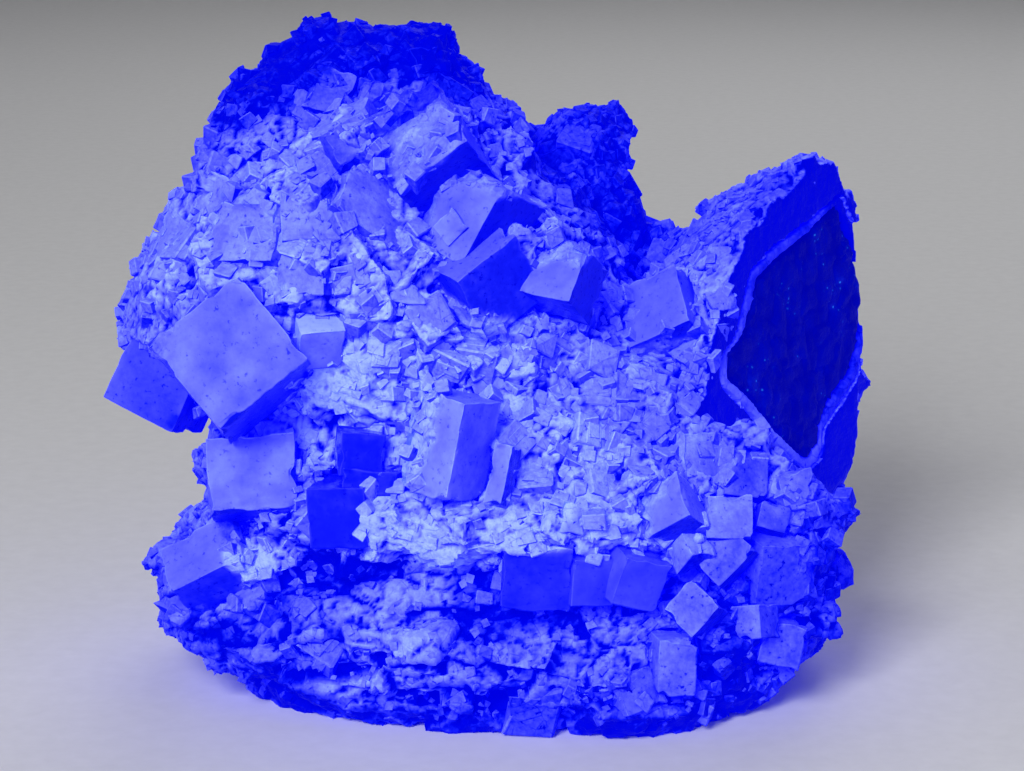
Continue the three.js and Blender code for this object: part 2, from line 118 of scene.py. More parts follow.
# Crystals of the crust that are large enough to know one by one: where the middle of the front
# face is seen in the camera's picture (PICTURE wide and high, counted from its top left), how wide
# the face is seen there, spin, how pale it is and, for some, how far it looks to the right of and
# above the way that the crust faces there.
LESSER = [
    # the upper lobe
    ((378, 207), 78, -40, 0.45), ((420, 227), 38, -45, 0.28, 10, -10), ((347, 278), 29, -10, 0.4),
    ((342, 252), 25, 30, 0.5), ((443, 272), 30, -15, 0.42), ((251, 174), 26, -5, 0.5),
    ((398, 286), 46, 5, 0.65, 0, 10), ((371, 298), 24, -35, 0.7), ((298, 268), 60, -5, 0.55, 0, 15),
    ((246, 232), 66, -5, 0.5), ((308, 215), 58, -5, 0.52), ((170, 238), 52, 15, 0.42),
    ((330, 92), 46, 15, 0.26), ((352, 142), 45, -25, 0.42), ((365, 58), 26, -10, 0.08),
    ((397, 55), 22, 5, 0.04), ((428, 60), 28, -10, 0.1), ((287, 92), 20, 0, 0.1),
    ((460, 88), 30, -30, 0.14), ((475, 110), 26, 20, 0.16), ((240, 152), 26, 20, 0.3),
    ((285, 158), 29, -10, 0.4), ((215, 195), 46, 10, 0.45), ((170, 285), 44, -20, 0.45),
    ((318, 118), 39, -12, 0.36), ((382, 108), 32, 25, 0.3), ((422, 140), 26, -15, 0.4),
    # the middle druse
    ((365, 323), 29, -5, 0.6), ((405, 352), 40, -20, 0.66), ((440, 350), 30, -5, 0.6),
    ((468, 354), 32, 10, 0.55), ((462, 313), 30, 0, 0.6), ((496, 323), 32, -12, 0.5),
    ((489, 303), 22, -5, 0.45), ((511, 308), 20, -20, 0.45), ((423, 313), 36, 12, 0.55),
    ((506, 362), 26, -35, 0.5), ((527, 351), 20, -20, 0.5), ((550, 356), 30, 30, 0.45),
    ((603, 320), 30, 30, 0.48), ((632, 346), 44, 42, 0.5), ((500, 388), 28, 0, 0.55),
    ((516, 410), 26, 15, 0.72), ((418, 412), 30, -45, 0.3), ((570, 418), 30, -10, 0.45),
    ((577, 446), 24, -35, 0.1), ((545, 322), 20, 10, 0.5), ((560, 385), 28, -15, 0.45),
    ((540, 415), 26, 20, 0.45), ((480, 384), 24, -30, 0.55),
    # the right wall
    ((690, 347), 36, 12, 0.5), ((684, 398), 34, -25, 0.58, 0, 10), ((620, 404), 38, 5, 0.5),
    ((614, 431), 28, 25, 0.2, 0, -20), ((652, 382), 30, -10, 0.45), ((703, 455), 44, 10, 0.6),
    ((655, 285), 30, -30, 0.4), ((720, 300), 26, -20, 0.4),
    # low on the right
    ((798, 490), 36, -10, 0.42), ((801, 526), 26, -15, 0.1, 0, -15), ((843, 506), 24, -5, 0.36, 10, 0),
    ((822, 524), 20, -20, 0.42), ((834, 534), 18, 10, 0.36, 10, 0), ((828, 553), 20, -25, 0.36, 10, 0),
    ((799, 549), 36, 8, 0.52, 0, 20), ((770, 536), 24, -15, 0.2, 0, -10), ((757, 573), 42, 42, 0.5),
    ((738, 592), 20, 40, 0.4), ((787, 592), 46, 0, 0.36), ((825, 587), 24, -10, 0.3, 15, 0),
    ((784, 645), 30, -20, 0.55), ((773, 682), 28, 15, 0.48), ((692, 566), 28, 12, 0.48),
    ((646, 530), 22, 30, 0.55), ((697, 544), 32, 10, 0.5, 0, 15), ((667, 566), 24, -30, 0.45),
    ((725, 628), 24, 25, 0.3), ((729, 668), 22, -30, 0.2), ((605, 527), 30, -10, 0.7),
    ((575, 520), 26, 20, 0.7),
    # the base
    ((640, 690), 50, -10, 0.42), ((700, 700), 30, 30, 0.3, 0, -10), ((250, 590), 50, -15, 0.4),
    ((180, 600), 40, 20, 0.3),
]


def box_middle(node):
    low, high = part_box(node)
    return (np.array(low) + np.array(high)) / 2 / MM


# The great left crystal is one whole box, so its middle gives where the mark lies in the frame.
MARK = box_middle("crystal_great_left") - np.array([-37.8, -23, 57.3])

# The broken face at the right, as the solids have it.
BREAK_POINT = np.array([50.0, 5.0, 58.0])
BREAK_NORMAL = np.array([0.77, -0.64, 0.1]) / np.linalg.norm([0.77, -0.64, 0.1])

# Where the crust changes: a middle, how far it reaches and then, in the order of ZONE_NUMBERS, edge
# lengths of its blocks and of the small cubes between them, how far the blocks lean (degrees) and
# stand proud (as a share of their size), how crooked they are, how pale the crust is, how much
# sugar lies on it and how many loose crumbs.
ZONE_NUMBERS = ("block", "small", "lean", "proud", "warp", "tone", "sugar", "crumbs")
ZONES = [
    # top rim
    ((-24, 8, 104), (24, 26, 8), (2.5, 5), (1.4, 2.6), 20, 0.06, 0.24, -0.06, 0.0, 0.7),
    # upper lobe
    ((-28, -10, 80), (26, 24, 18), (5, 10), (1.6, 3.4), 12, 0.04, 0.26, 0.5, 0.6, 0.15),
    # upper back
    ((-24, 26, 84), (26, 14, 18), (4, 8), (1.8, 3.4), 15, 0.08, 0.22, 0.24, 0.2, 0.4),
    # middle druse
    ((4, -22, 54), (24, 18, 13), (2.8, 6), (1.6, 2.6), 20, 0.14, 0.18, 0.62, 0.6, 0.6),
    # bright hollow
    ((-22, -24, 46), (11, 12, 8), (3, 6), (1.4, 2.6), 14, 0.02, 0.28, 0.8, 1.0, 0.1),
    # ledge
    ((6, -28, 33), (32, 14, 5), (3, 6.5), (1.4, 2.6), 14, 0.02, 0.28, 0.78, 1.0, 0.2),
    # right wall
    ((42, -4, 60), (16, 18, 18), (2.6, 5), (1.4, 2.4), 16, 0.06, 0.24, 0.48, 0.45, 0.4),
    # rear peak
    ((18, 20, 80), (12, 14, 18), (2.8, 6), (1.4, 2.6), 20, 0.08, 0.2, 0.0, 0.04, 0.8),
    # low right
    ((44, -22, 26), (12, 12, 14), (4, 8), (1.8, 3), 20, 0.1, 0.18, 0.36, 0.25, 0.3),
    # base
    ((-4, -20, 10), (48, 24, 11), (5, 11), (1.8, 3), 10, -0.04, 0.32, 0.36, 0.3, 0.05),
    # back
    ((4, 30, 40), (50, 12, 34), (5, 10), (2, 3.6), 14, 0.06, 0.24, 0.4, 0.35, 0.3),
    # left side
    ((-50, 8, 60), (12, 20, 30), (4, 9), (1.8, 3), 14, 0.04, 0.26, 0.36, 0.4, 0.3),
]

# Painted shade (below 0) and painted light (above 0) on the crust, over the tone of its zone:
# a middle, how far it reaches and how much.
LIGHT_AND_SHADE_PATCHES = [
    ((-22, -27, 25), (9, 10, 1.8), -0.5), ((6, -31, 23), (12, 8, 2), -0.4),
    ((20, -15, 63), (4, 8, 4), -0.7), ((-33, -27, 20), (4, 10, 1.8), -0.5),
    ((-41, -24, 14.5), (5, 10, 2), -0.4), ((-4, -30, 19), (2.5, 8, 5), -0.4),
    ((-39, -24, 24.5), (8, 10, 4), 0.45), ((-16, -28, 14), (10, 8, 5), 0.15),
    ((-7, -30, 27), (7, 8, 4), 0.35), ((-6, -26, 37.5), (6, 6, 2), -0.5),
    ((-33, -24, 47), (7, 8, 3), -0.45), ((20, -33, 24), (2, 8, 4), -0.6),
    ((32, -28, 12), (3, 8, 8), -0.4), ((40, -26, 9), (4, 8, 7), -0.4), ((-32, -28, 6), (6, 8, 5), -0.5),
    ((10, -34, 19), (8, 8, 2), -0.4), ((23, -16, 46), (6, 8, 3), -0.5),
    ((-42, -20, 30), (8, 10, 2.5), -0.5), ((-40, -2, 95), (9, 14, 9), -0.5),
    ((-6, 3, 99), (12, 12, 7), -0.4), ((57, -10, 24), (6, 14, 18), -0.5),
    ((0, -28, 1), (46, 12, 4), -0.15), ((-14, -30, 8), (14, 8, 4), 0.2),
    ((-48, -10, 12), (8, 14, 8), -0.3), ((-16, -12, 95), (12, 12, 4), 0.2),
    ((-22, -26, 48), (11, 10, 8), 0.3), ((14, -30, 34), (12, 8, 5), 0.2),
    ((-12, -30, 30), (10, 8, 4), 0.3), ((-12, -24, 59), (10, 10, 8), 0.2),
    ((40, 2, 78), (13, 14, 7), -0.3), ((4, -24, 66), (10, 8, 4), 0.1),
    ((-30, -26, 70), (8, 8, 6), 0.15), ((-14, -24, 68), (8, 8, 5), 0.15),
    ((-4, -24, 26), (5, 10, 3), 0.7), ((-22, -24, 56.5), (8, 8, 4), 0.25),
    ((2, -24, 56), (8, 8, 4), 0.25), ((18, -27, 44), (7, 8, 3.5), 0.25),
    ((-46, -6, 90), (6, 12, 7), -0.3), ((28, 6, 73), (6, 10, 5), -0.5),
    ((44, -2, 86), (8, 10, 4), -0.3), ((-29, -22, 37), (5, 8, 4), -0.45),
    ((-15, -28, 32), (6, 8, 3), 0.3), ((-5, -22, 20), (6, 10, 4), 0.3),
    ((-34, -22, 25), (5, 8, 3), 0.5), ((-22, -24, 50), (5, 8, 3), 0.35),
    ((3, -24, 50), (4, 8, 4), 0.25), ((21, -26, 44), (5, 8, 3), 0.2),
    ((-35, -22, 30), (5, 8, 3), -0.35), ((-50, -14, 70), (10, 12, 9), 0.2),
]

# Where the crust is drawn away from its solid: a middle, how far it reaches and the way it goes
# there, in millimetres.
PULLS = [
    ((61, -4, 21), (9, 18, 8), (-4, 0, 0)), ((25, 20, 88), (8, 14, 9), (-2.6, 0, 0)),
    ((-57, -5, 58), (9, 14, 7), (-1.8, 0, 0)), ((-47, -14, 43), (7, 10, 5), (-2, -0.4, 0)),
    ((-52, -12, 11), (8, 12, 6), (1.4, 0, 0)), ((-45, 2, 97), (8, 12, 8), (2.6, 0, -0.6)),
    ((-50, -4, 81.5), (8, 12, 3.5), (1.8, 0, 0)),
]

SUGAR_AND_LIGHT_FROM = np.array([-0.38, -0.42, 0.82])  # fine druse settled on faces that look this way, and painted light that falls from this way on them


# ---------------------------------------------------------------- noise


def hashed(lattice, seed):
    """A random number from 0 to 1 for each row of whole numbers."""
    x, y, z = (lattice[..., i].astype(np.int64) for i in range(3))
    h = (x * 374761393 + y * 668265263 + z * 1440662683 + seed * 974634777) & 0xFFFFFFFF
    h = ((h ^ (h >> 13)) * 1274126177) & 0xFFFFFFFF
    h = ((h ^ (h >> 16)) * 2246822519) & 0xFFFFFFFF
    return ((h ^ (h >> 15)) & 0xFFFFFF) / 0xFFFFFF


def clouds(points, size, seed, octaves=1):
    """Smooth noise from -1 to 1 that changes over about that size."""
    total, weight = np.zeros(len(points)), 0.0
    for octave in range(octaves):
        p = points / size * 2**octave
        corner = np.floor(p)
        f = p - corner
        f = f * f * (3 - 2 * f)
        value = np.zeros(len(points))
        for step in product((0, 1), repeat=3):
            near = np.abs(1 - np.array(step) - f)
            value += near[:, 0] * near[:, 1] * near[:, 2] * hashed(corner + step, seed + octave)
        total += (2 * value - 1) / 2**octave
        weight += 1 / 2**octave
    return total / weight


SQUARENESS = 0.6  # how square the stones of broken ground are
JOINT_SLOPE = 4  # how quickly a stone rises from its joints


def flags(points, size, seed):
    """Broken ground like flagstones: per point, how far its stone stands out (-1 to 1, tilt
    included) and how close the nearest joint is (0 at the joint, 1 inside)."""
    p = points / np.array(size)
    corner = np.floor(p)
    nearest = np.full(len(p), 9.0)
    second = np.full(len(p), 9.0)
    stand = np.zeros(len(p))
    for step in product((-1, 0, 1), repeat=3):
        cell = corner + step
        middle = cell + np.stack([hashed(cell, seed + k) for k in range(3)], 1)
        tilt = np.stack([hashed(cell, seed + k) for k in range(3, 6)], 1) * 2 - 1
        away = p - middle
        far = np.abs(away).max(1) * SQUARENESS + np.linalg.norm(away, axis=1) * (1 - SQUARENESS)
        closer = far < nearest
        second = np.where(closer, nearest, np.minimum(second, far))
        nearest = np.where(closer, far, nearest)
        height = (hashed(cell, seed + 6) * 2 - 1) * 0.6 + (away * tilt).sum(1)
        stand = np.where(closer, height, stand)
    return stand, np.clip((second - nearest) * JOINT_SLOPE, 0, 1)


def ramp(value, low, high):
    t = np.clip((value - low) / (high - low), 0, 1)
    return t * t * (3 - 2 * t)


# ---------------------------------------------------------------- meshes


def column_of(items, name, kind=np.float32):
    """One vector (or whole number) of each item of a mesh."""
    width = 1 if kind == np.int32 and name == "vertex_index" else 3
    values = np.empty(len(items) * width, kind)
    items.foreach_get(name, values)
    return values.reshape(-1, 3) if width == 3 else values


def bare_mesh(name, points, faces):
    """A mesh from points in metres and faces that all have the same number of corners."""
    mesh = bpy.data.meshes.new(name)
    mesh.vertices.add(len(points))
    mesh.vertices.foreach_set("co", np.asarray(points, np.float32).ravel())
    mesh.loops.add(faces.size)
    mesh.loops.foreach_set("vertex_index", faces.astype(np.int32).ravel())
    mesh.polygons.add(len(faces))
    mesh.polygons.foreach_set("loop_start", np.arange(0, faces.size, faces.shape[1], dtype=np.int32))
    mesh.update(calc_edges=True)
    mesh.validate()
    return mesh


def piece_of(name, points, faces, tone, node, material, smooth=False, span=None, over=None):
    """A piece in the frame from points in millimetres, or the part of it that lies in a span of
    heights. It stands for a node of the solids. tone holds one number per point or per face.
    over is a second finish and which faces wear it."""
    points = (np.asarray(points, float) + MARK) * MM
    points[:, 2] = np.maximum(points[:, 2], 0)
    mesh = bare_mesh(name, points, faces)
    domain = "POINT" if len(tone) == len(points) else "FACE"
    attribute = mesh.attributes.new("tone", "FLOAT", domain)
    attribute.data.foreach_set("value", np.asarray(tone, np.float32))
    if span:
        work = bmesh.new()
        work.from_mesh(mesh)
        for height, up in zip(span, (-1, 1)):
            everything = work.verts[:] + work.edges[:] + work.faces[:]
            cut = bmesh.ops.bisect_plane(
                work, geom=everything, plane_co=(0, 0, height * MM), plane_no=(0, 0, up), clear_outer=True
            )
            rim = [e for e in cut["geom_cut"] if isinstance(e, bmesh.types.BMEdge)]
            if rim:
                bmesh.ops.holes_fill(work, edges=rim)
        work.to_mesh(mesh)
        work.free()
    mesh.polygons.foreach_set("use_smooth", np.full(len(mesh.polygons), smooth))
    if smooth:
        mesh.set_sharp_from_angle(angle=math.radians(SHARP_ANGLE))
    mesh.materials.append(material)
    if over:
        mesh.materials.append(over[0])
        mesh.polygons.foreach_set("material_index", over[1].astype(np.int32))
    obj = bpy.data.objects.new(name, mesh)
    bpy.context.scene.collection.objects.link(obj)
    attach(obj, "root")
    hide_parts(node)
    return obj


def remeshed(node, voxel, smoothing, extra=None):
    """A node's solid as an even mesh, with extra boxes (points in millimetres and faces) grown
    into it: its points in millimetres, their normals and its four-sided faces."""
    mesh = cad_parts[node].data.copy()
    work = bmesh.new()
    work.from_mesh(mesh)
    bmesh.ops.remove_doubles(work, verts=work.verts, dist=1e-6)
    work.to_mesh(mesh)
    work.free()
    if extra is not None:
        mesh.calc_loop_triangles()
        corners = column_of(mesh.loop_triangles, "vertices", np.int32)
        points = np.concatenate([column_of(mesh.vertices, "co"), (extra[0] + MARK) * MM])
        mesh = bare_mesh("grown", points, np.concatenate([corners, extra[1] + len(mesh.vertices)]))
    obj = bpy.data.objects.new("even", mesh)
    bpy.context.scene.collection.objects.link(obj)
    remesh = obj.modifiers.new("even", "REMESH")
    remesh.mode = "VOXEL"
    remesh.voxel_size = voxel * MM
    smooth = obj.modifiers.new("smooth", "SMOOTH")
    smooth.factor = 0.5
    smooth.iterations = smoothing
    even = obj.evaluated_get(bpy.context.evaluated_depsgraph_get()).to_mesh()
    points = column_of(even.vertices, "co").astype(float) / MM - MARK
    normals = column_of(even.vertex_normals, "vector").astype(float)
    faces = column_of(even.loops, "vertex_index", np.int32).reshape(-1, 4)
    bpy.data.objects.remove(obj)
    return points, normals, faces


def vertex_normals(points, quads):
    """Area-weighted normals of a four-sided mesh."""
    a, b, c, d = (points[quads[:, k]] for k in range(4))
    across = np.cross(c - a, d - b)
    total = np.stack(
        [sum(np.bincount(quads[:, k], across[:, i], len(points)) for k in range(4)) for i in range(3)], 1
    )
    return unit(total)


def smoothed(points, faces, values, rounds):
    """Values at points, averaged along the edges of the faces."""
    a = np.concatenate([faces[:, k] for k in range(4)])
    b = np.concatenate([faces[:, (k + 1) % 4] for k in range(4)])
    count = np.bincount(a, minlength=len(points)) + np.bincount(b, minlength=len(points))
    values = values.astype(float).copy()
    for _ in range(rounds):
        for column in range(values.shape[1]):
            v = values[:, column]
            total = np.bincount(a, v[b], len(points)) + np.bincount(b, v[a], len(points))
            values[:, column] = 0.5 * v + 0.5 * total / count
    return values


def unit(vectors):
    return vectors / np.maximum(np.linalg.norm(vectors, axis=-1, keepdims=True), 1e-12)


# ---------------------------------------------------------------- cubes

INSET = 0.5  # in a box's plan, the line where a face ends and its worn edge begins


def lattice_box(lines):
    """The surface of a box as a grid with these lines along each axis, from -1 to 1: unique
    points and triangles that look outwards."""
    points, faces = [], []
    last = len(lines) - 1
    for axis in range(3):
        u, v = (axis + 1) % 3, (axis + 2) % 3
        for side in (-1, 1):
            start = len(points)
            for i in range(last + 1):
                for j in range(last + 1):
                    p = [0.0, 0.0, 0.0]
                    p[axis], p[u], p[v] = side, lines[i], lines[j]
                    points.append(p)
            for i in range(last):
                for j in range(last):
                    a = start + i * (last + 1) + j
                    b, c, d = a + last + 1, a + last + 2, a + 1
                    quad = (a, b, c, d) if side > 0 else (a, d, c, b)
                    faces.append((quad[0], quad[1], quad[2]))
                    faces.append((quad[0], quad[2], quad[3]))
    unique, index = np.unique(np.round(points, 6), axis=0, return_inverse=True)
    return unique, index.reshape(-1)[np.array(faces)]


def chipped_box():
    """A box with flat chamfers: 24 points that are corners of its faces, and 44 triangles."""
    points, faces, number = [], [], {}
    for axis in range(3):
        u, v = (axis + 1) % 3, (axis + 2) % 3
        for side in (-1, 1):
            ring = []
            for su, sv in ((-1, -1), (1, -1), (1, 1), (-1, 1)):
                corner = [0, 0, 0]
                corner[axis], corner[u], corner[v] = side, su, sv
                number[(axis, tuple(corner))] = len(points)
                ring.append(len(points))
                place = [INSET * c for c in corner]
                place[axis] = side
                points.append(place)
            ring = ring if side > 0 else ring[::-1]
            faces += [(ring[0], ring[1], ring[2]), (ring[0], ring[2], ring[3])]
    for along in range(3):
        u, v = (along + 1) % 3, (along + 2) % 3
        for su in (-1, 1):
            for sv in (-1, 1):
                ends = []
                for s in (-1, 1):
                    corner = [0, 0, 0]
                    corner[along], corner[u], corner[v] = s, su, sv
                    ends.append(tuple(corner))
                quad = [number[(axis, end)] for axis, end in zip((u, u, v, v), ends + ends[::-1])]
                quad = quad if su * sv < 0 else quad[::-1]
                faces += [(quad[0], quad[1], quad[2]), (quad[0], quad[2], quad[3])]
    for corner in product((-1, 1), repeat=3):
        three = [number[(axis, corner)] for axis in range(3)]
        faces.append(tuple(three if math.prod(corner) > 0 else three[::-1]))
    return np.array(points), np.array(faces)


PLAIN_PLAN, CHIPPED_PLAN = lattice_box([-1, 1]), chipped_box()
PLAIN_FACES = len(PLAIN_PLAN[1])  # the first faces of a chipped box, too, are its plain sides


def axes_of(bearing, rise, spin):
    """The three axes, as columns, of a box whose front face (-Y) looks that way."""
    b, r, s = math.radians(bearing), math.radians(-rise), math.radians(spin)
    turn = np.array([[math.cos(b), -math.sin(b), 0], [math.sin(b), math.cos(b), 0], [0, 0, 1]])
    tip = np.array([[1, 0, 0], [0, math.cos(r), -math.sin(r)], [0, math.sin(r), math.cos(r)]])
    roll = np.array([[math.cos(s), 0, math.sin(s)], [0, 1, 0], [-math.sin(s), 0, math.cos(s)]])
    return turn @ tip @ roll


def face_normals(points, faces):
    a, b, c = (points[faces[:, k]] for k in range(3))
    return unit(np.cross(b - a, c - a))


def boxes(plan, half, wear):
    """The points of many boxes with worn edges about their middles, from one plan."""
    h, r = half[:, None, :], wear[:, None, None]
    q = np.where(np.abs(plan) > (1 + INSET) / 2, np.sign(plan) * h, plan / INSET * (h - r))
    inner = np.clip(q, r - h, h - r)
    out = q - inner
    far = np.linalg.norm(out, axis=2, keepdims=True)
    return inner + out * (r / np.maximum(far, np.maximum(r, 1e-9)))


def cleaved(points, half, depth, rng):
    """Cuts one corner off each box, square to its long diagonal, as fluorite splits."""
    side = rng.choice([-1.0, 1.0], (len(points), 3))
    across = side / math.sqrt(3)
    reach = np.abs(half).sum(1) / math.sqrt(3) - depth
    past = np.einsum("nvk,nk->nv", points, across) - reach[:, None]
    return points - np.maximum(past, 0)[:, :, None] * across[:, None, :]


def warped(points, half, warp, rng):
    """Moves each box's eight corners by a share of its size, and all between them along."""
    shares = points / half[:, None, :]
    moved = points.copy()
    for corner in product((-1, 1), repeat=3):
        weight = np.prod((1 + shares * corner) / 2, axis=2, keepdims=True)
        shift = rng.uniform(-1, 1, half.shape) * half * warp[:, None]
        moved += weight * shift[:, None, :]
    return moved


def placed(points, axes, at):
    return np.einsum("nvk,njk->nvj", points, axes) + at[:, None, :]


def turned(vectors, about, angle):
    """Each vector turned about its own axis by its own angle."""
    c, s = np.cos(angle)[:, None], np.sin(angle)[:, None]
    along = (vectors * about).sum(1, keepdims=True)
    return vectors * c + np.cross(about, vectors) * s + about * along * (1 - c)


def grown_on(at, normals, lean, rng):
    """Axes for boxes that sit on those normals and lean by about that angle. Neighbours are
    spun nearly alike."""
    n = len(normals)
    guide = np.where(np.abs(normals[:, 2:]) < 0.9, [[0, 0, 1.0]], [[1.0, 0, 0]])
    first = unit(np.cross(guide, normals))
    first = turned(first, normals, 2.4 * clouds(at, 11, 145) + rng.normal(0, 0.22, n))
    tip_axis = turned(first, normals, rng.uniform(0, 2 * math.pi, n))
    angle = np.radians(lean) * rng.normal(0, 1, n)
    x = turned(first, tip_axis, angle)
    z = turned(normals, tip_axis, angle)
    return np.stack([x, np.cross(z, x), z], 2)


def joined(points, faces):
    """One list of points and faces from many copies of a plan."""
    n, v = points.shape[:2]
    return points.reshape(-1, 3), (faces[None] + (np.arange(n) * v)[:, None, None]).reshape(-1, 3)


def face_tone(points, faces, per_box, edges, pale, sugar):
    """How pale each face of many boxes is: sugar lies on the faces that look up to the left, toward
    the light, as dust and painted light together; faces that look away from it are clean and get
    painted shade; and worn edges that look toward the light get a painted highlight."""
    normals = face_normals(points, faces)
    middle = points[faces].mean(1)
    pale, sugar = np.repeat(pale, per_box), np.repeat(sugar, per_box)
    uneven = clouds(middle, 8, 71, 3)
    facing = normals @ unit(SUGAR_AND_LIGHT_FROM)
    # painted shade: faces that look away from the light are darker
    clean_and_shaded = pale * (0.35 + 0.65 * ramp(facing, -0.4, 0.6)) * (1 + 0.4 * uneven)
    # sugar on the faces that look toward the light: dust and painted light together
    dust_and_light = ramp(facing + 0.6 * uneven, 0.0, 1.0) * sugar
    worn = np.tile(edges, len(pale) // per_box)
    # a painted highlight on worn edges that look toward the light
    return np.clip(clean_and_shaded + (0.8 - clean_and_shaded) * dust_and_light + 0.08 * worn * ramp(facing, -0.6, 0.4), 0, 0.95)


# ---------------------------------------------------------------- the crust


LEAST_WEIGHT = 1e-6  # what each zone counts for at least, however far away it is


def zone_values(points):
    """The zones' numbers at points, each blended from the zones around."""
    wander = np.stack([clouds(points, 14, seed) for seed in (11, 12, 13)], 1) * 4
    weights = np.stack([
        np.exp(-((((points + wander) - at) / reach) ** 2).sum(1)) + LEAST_WEIGHT for at, reach, *_ in ZONES
    ], 1)
    weights /= weights.sum(1, keepdims=True)
    values = {}
    for name, column in zip(ZONE_NUMBERS, list(zip(*ZONES))[2:]):
        values[name] = weights @ np.array(column, float)
    # painted shade and painted light from the patches
    values["patch"] = np.zeros(len(points))
    for at, reach, amount in LIGHT_AND_SHADE_PATCHES:
        values["patch"] += amount * np.exp(-((((points + 0.4 * wander) - at) / reach) ** 2).sum(1))
    return values


def pull(points):
    """How far, and which way, the crust is drawn away from its solid at each point."""
    total = np.zeros(points.shape)
    for at, reach, way in PULLS:
        total += np.exp(-(((points - at) / reach) ** 2).sum(1))[:, None] * way
    return total


def sight(place):
    """The camera's eye, the way it looks ahead and the way it looks at a place in its picture."""
    rise = math.radians(VIEW_HEIGHT)
    ahead = np.array([0, math.cos(rise), -math.sin(rise)])
    up = np.array([0, math.sin(rise), math.cos(rise)])
    right = np.array([1.0, 0, 0])
    look = ahead + right * (place[0] - PICTURE[0] / 2) / FAR - up * (place[1] - PICTURE[1] / 2) / FAR
    return VIEW_TARGET - ahead * VIEW_DISTANCE, ahead, unit(look)


def seats_on(ground):
    """Where each lesser crystal sits on the ground, and the way it looks there."""
    surface = BVHTree.FromPolygons(ground.points.tolist(), ground.quads.tolist())
    tree = tree_of(ground.points)
    seats = []
    for place, width, spin, pale, *turn in LESSER:
        eye, ahead, look = sight(place)
        hit = surface.ray_cast(eye, look)[0]
        if hit is None:
            continue
        edge = round(width * ((np.array(hit) - eye) @ ahead) / FAR / EDGE_STEP) * EDGE_STEP
        close = [index for _, index, _ in tree.find_range(hit, 0.6 * edge)]
        normal = unit(ground.normals[close].mean(0))
        right, above = turn or (0, 0)
        bearing = np.clip(math.degrees(math.atan2(normal[0], -normal[1])) + right, -50, 50)
        rise = np.clip(math.degrees(math.asin(normal[2])) + above, -25, 50)
        seats.append({"at": np.array(hit), "edge": edge, "look": (bearing, rise), "spin": spin, "pale": pale})
    return seats


def depth_in_front(points):
    return (points - BREAK_POINT) @ BREAK_NORMAL


def settle(places, sizes, crowd):
    """Which of these places are kept, in turn, so that no two are closer than a share of their
    summed sizes."""
    cell = float(max(sizes)) * 2 * crowd
    room = {}
    keys = np.floor(places / cell).astype(int)
    kept = []
    for i, (key, place, size) in enumerate(zip(keys.tolist(), places.tolist(), sizes.tolist())):
        around = (
            other
            for step in product((-1, 0, 1), repeat=3)
            for other in room.get((key[0] + step[0], key[1] + step[1], key[2] + step[2]), ())
        )
        crowded = any(
            (x - place[0]) ** 2 + (y - place[1]) ** 2 + (z - place[2]) ** 2 < (crowd * (other + size)) ** 2
            for x, y, z, other in around
        )
        if not crowded:
            room.setdefault(tuple(key), []).append((*place, size))
            kept.append(i)
    return np.array(kept)


def tree_of(points):
    tree = kdtree.KDTree(len(points))
    for i, p in enumerate(points):
        tree.insert(p, i)
    tree.balance()
    return tree


class Ground:
    """A surface that cubes grow on. ridge is how far it stands out of its wider surroundings."""

    def __init__(self, points, normals, quads, ridge_points, ridge, seats):
        self.points, self.normals, self.quads, self.seats = points, normals, quads, seats
        self.ridge_tree, self.ridge = tree_of(ridge_points), ridge

    def ridge_at(self, places):
        return self.ridge[[self.ridge_tree.find(p)[1] for p in places]]


def spots_on(points, normals, faces, count, rng):
    """Random places on a four-sided mesh, with the surface's normals there."""
    a, b, c, d = (points[faces[:, k]] for k in range(4))
    area = np.linalg.norm(np.cross(c - a, d - b), axis=1) / 2
    pick = rng.choice(len(faces), count, p=area / area.sum())
    s, t = rng.random((count, 1)), rng.random((count, 1))
    found = []
    for values in (points, normals):
        a, b, c, d = (values[faces[pick, k]] for k in range(4))
        found.append((a * (1 - s) + b * s) * (1 - t) + (d * (1 - s) + c * s) * t)
    return found[0], unit(found[1])


def between(limits, rng, power=1.0):
    return limits[:, 0] + (limits[:, 1] - limits[:, 0]) * rng.random(len(limits)) ** power


BASE_TOP = 29.0  # where the massive base ends and the druse begins
ON_BASE = 0.12  # the share of cubes that grow on the massive base
COARSE_VOXEL, SKIN_VOXEL = 1.1, 0.52
BROAD_ROUNDS, RIDGE_ROUNDS = 8, 60  # how far normals, and the ground that ridges stand out of, are evened
BLOCK_TRIES, BLOCK_CROWD = 20000, 0.33
SMALL_TRIES, SMALL_CROWD = 14000, 0.46
GROWTH_STEPS = 300
LOOSE_TRIES, LOOSE_CROWD, LOOSE_CUBES = 16000, 0.55, 1600
GRAIN_TRIES, GRAINS = 9000, 3000
PLATE = 0.4  # half the thickness of a growth step
SLAB_HEIGHTS = (-999, 31, 60, 999)  # the skin is made as three pieces, one above the other
DEEPEST = -0.2  # the tone of the deepest joints and of the deepest painted shade


def on_break(points, normals):
    """How much each point lies on the broken face at the right, from 0 to 1."""
    near = ramp(-np.linalg.norm(points - BREAK_POINT, axis=1), -33, -31)
    return near * ramp(-np.abs(depth_in_front(points)), -1.6, -0.9) * ramp(normals @ BREAK_NORMAL, 0.75, 0.9)


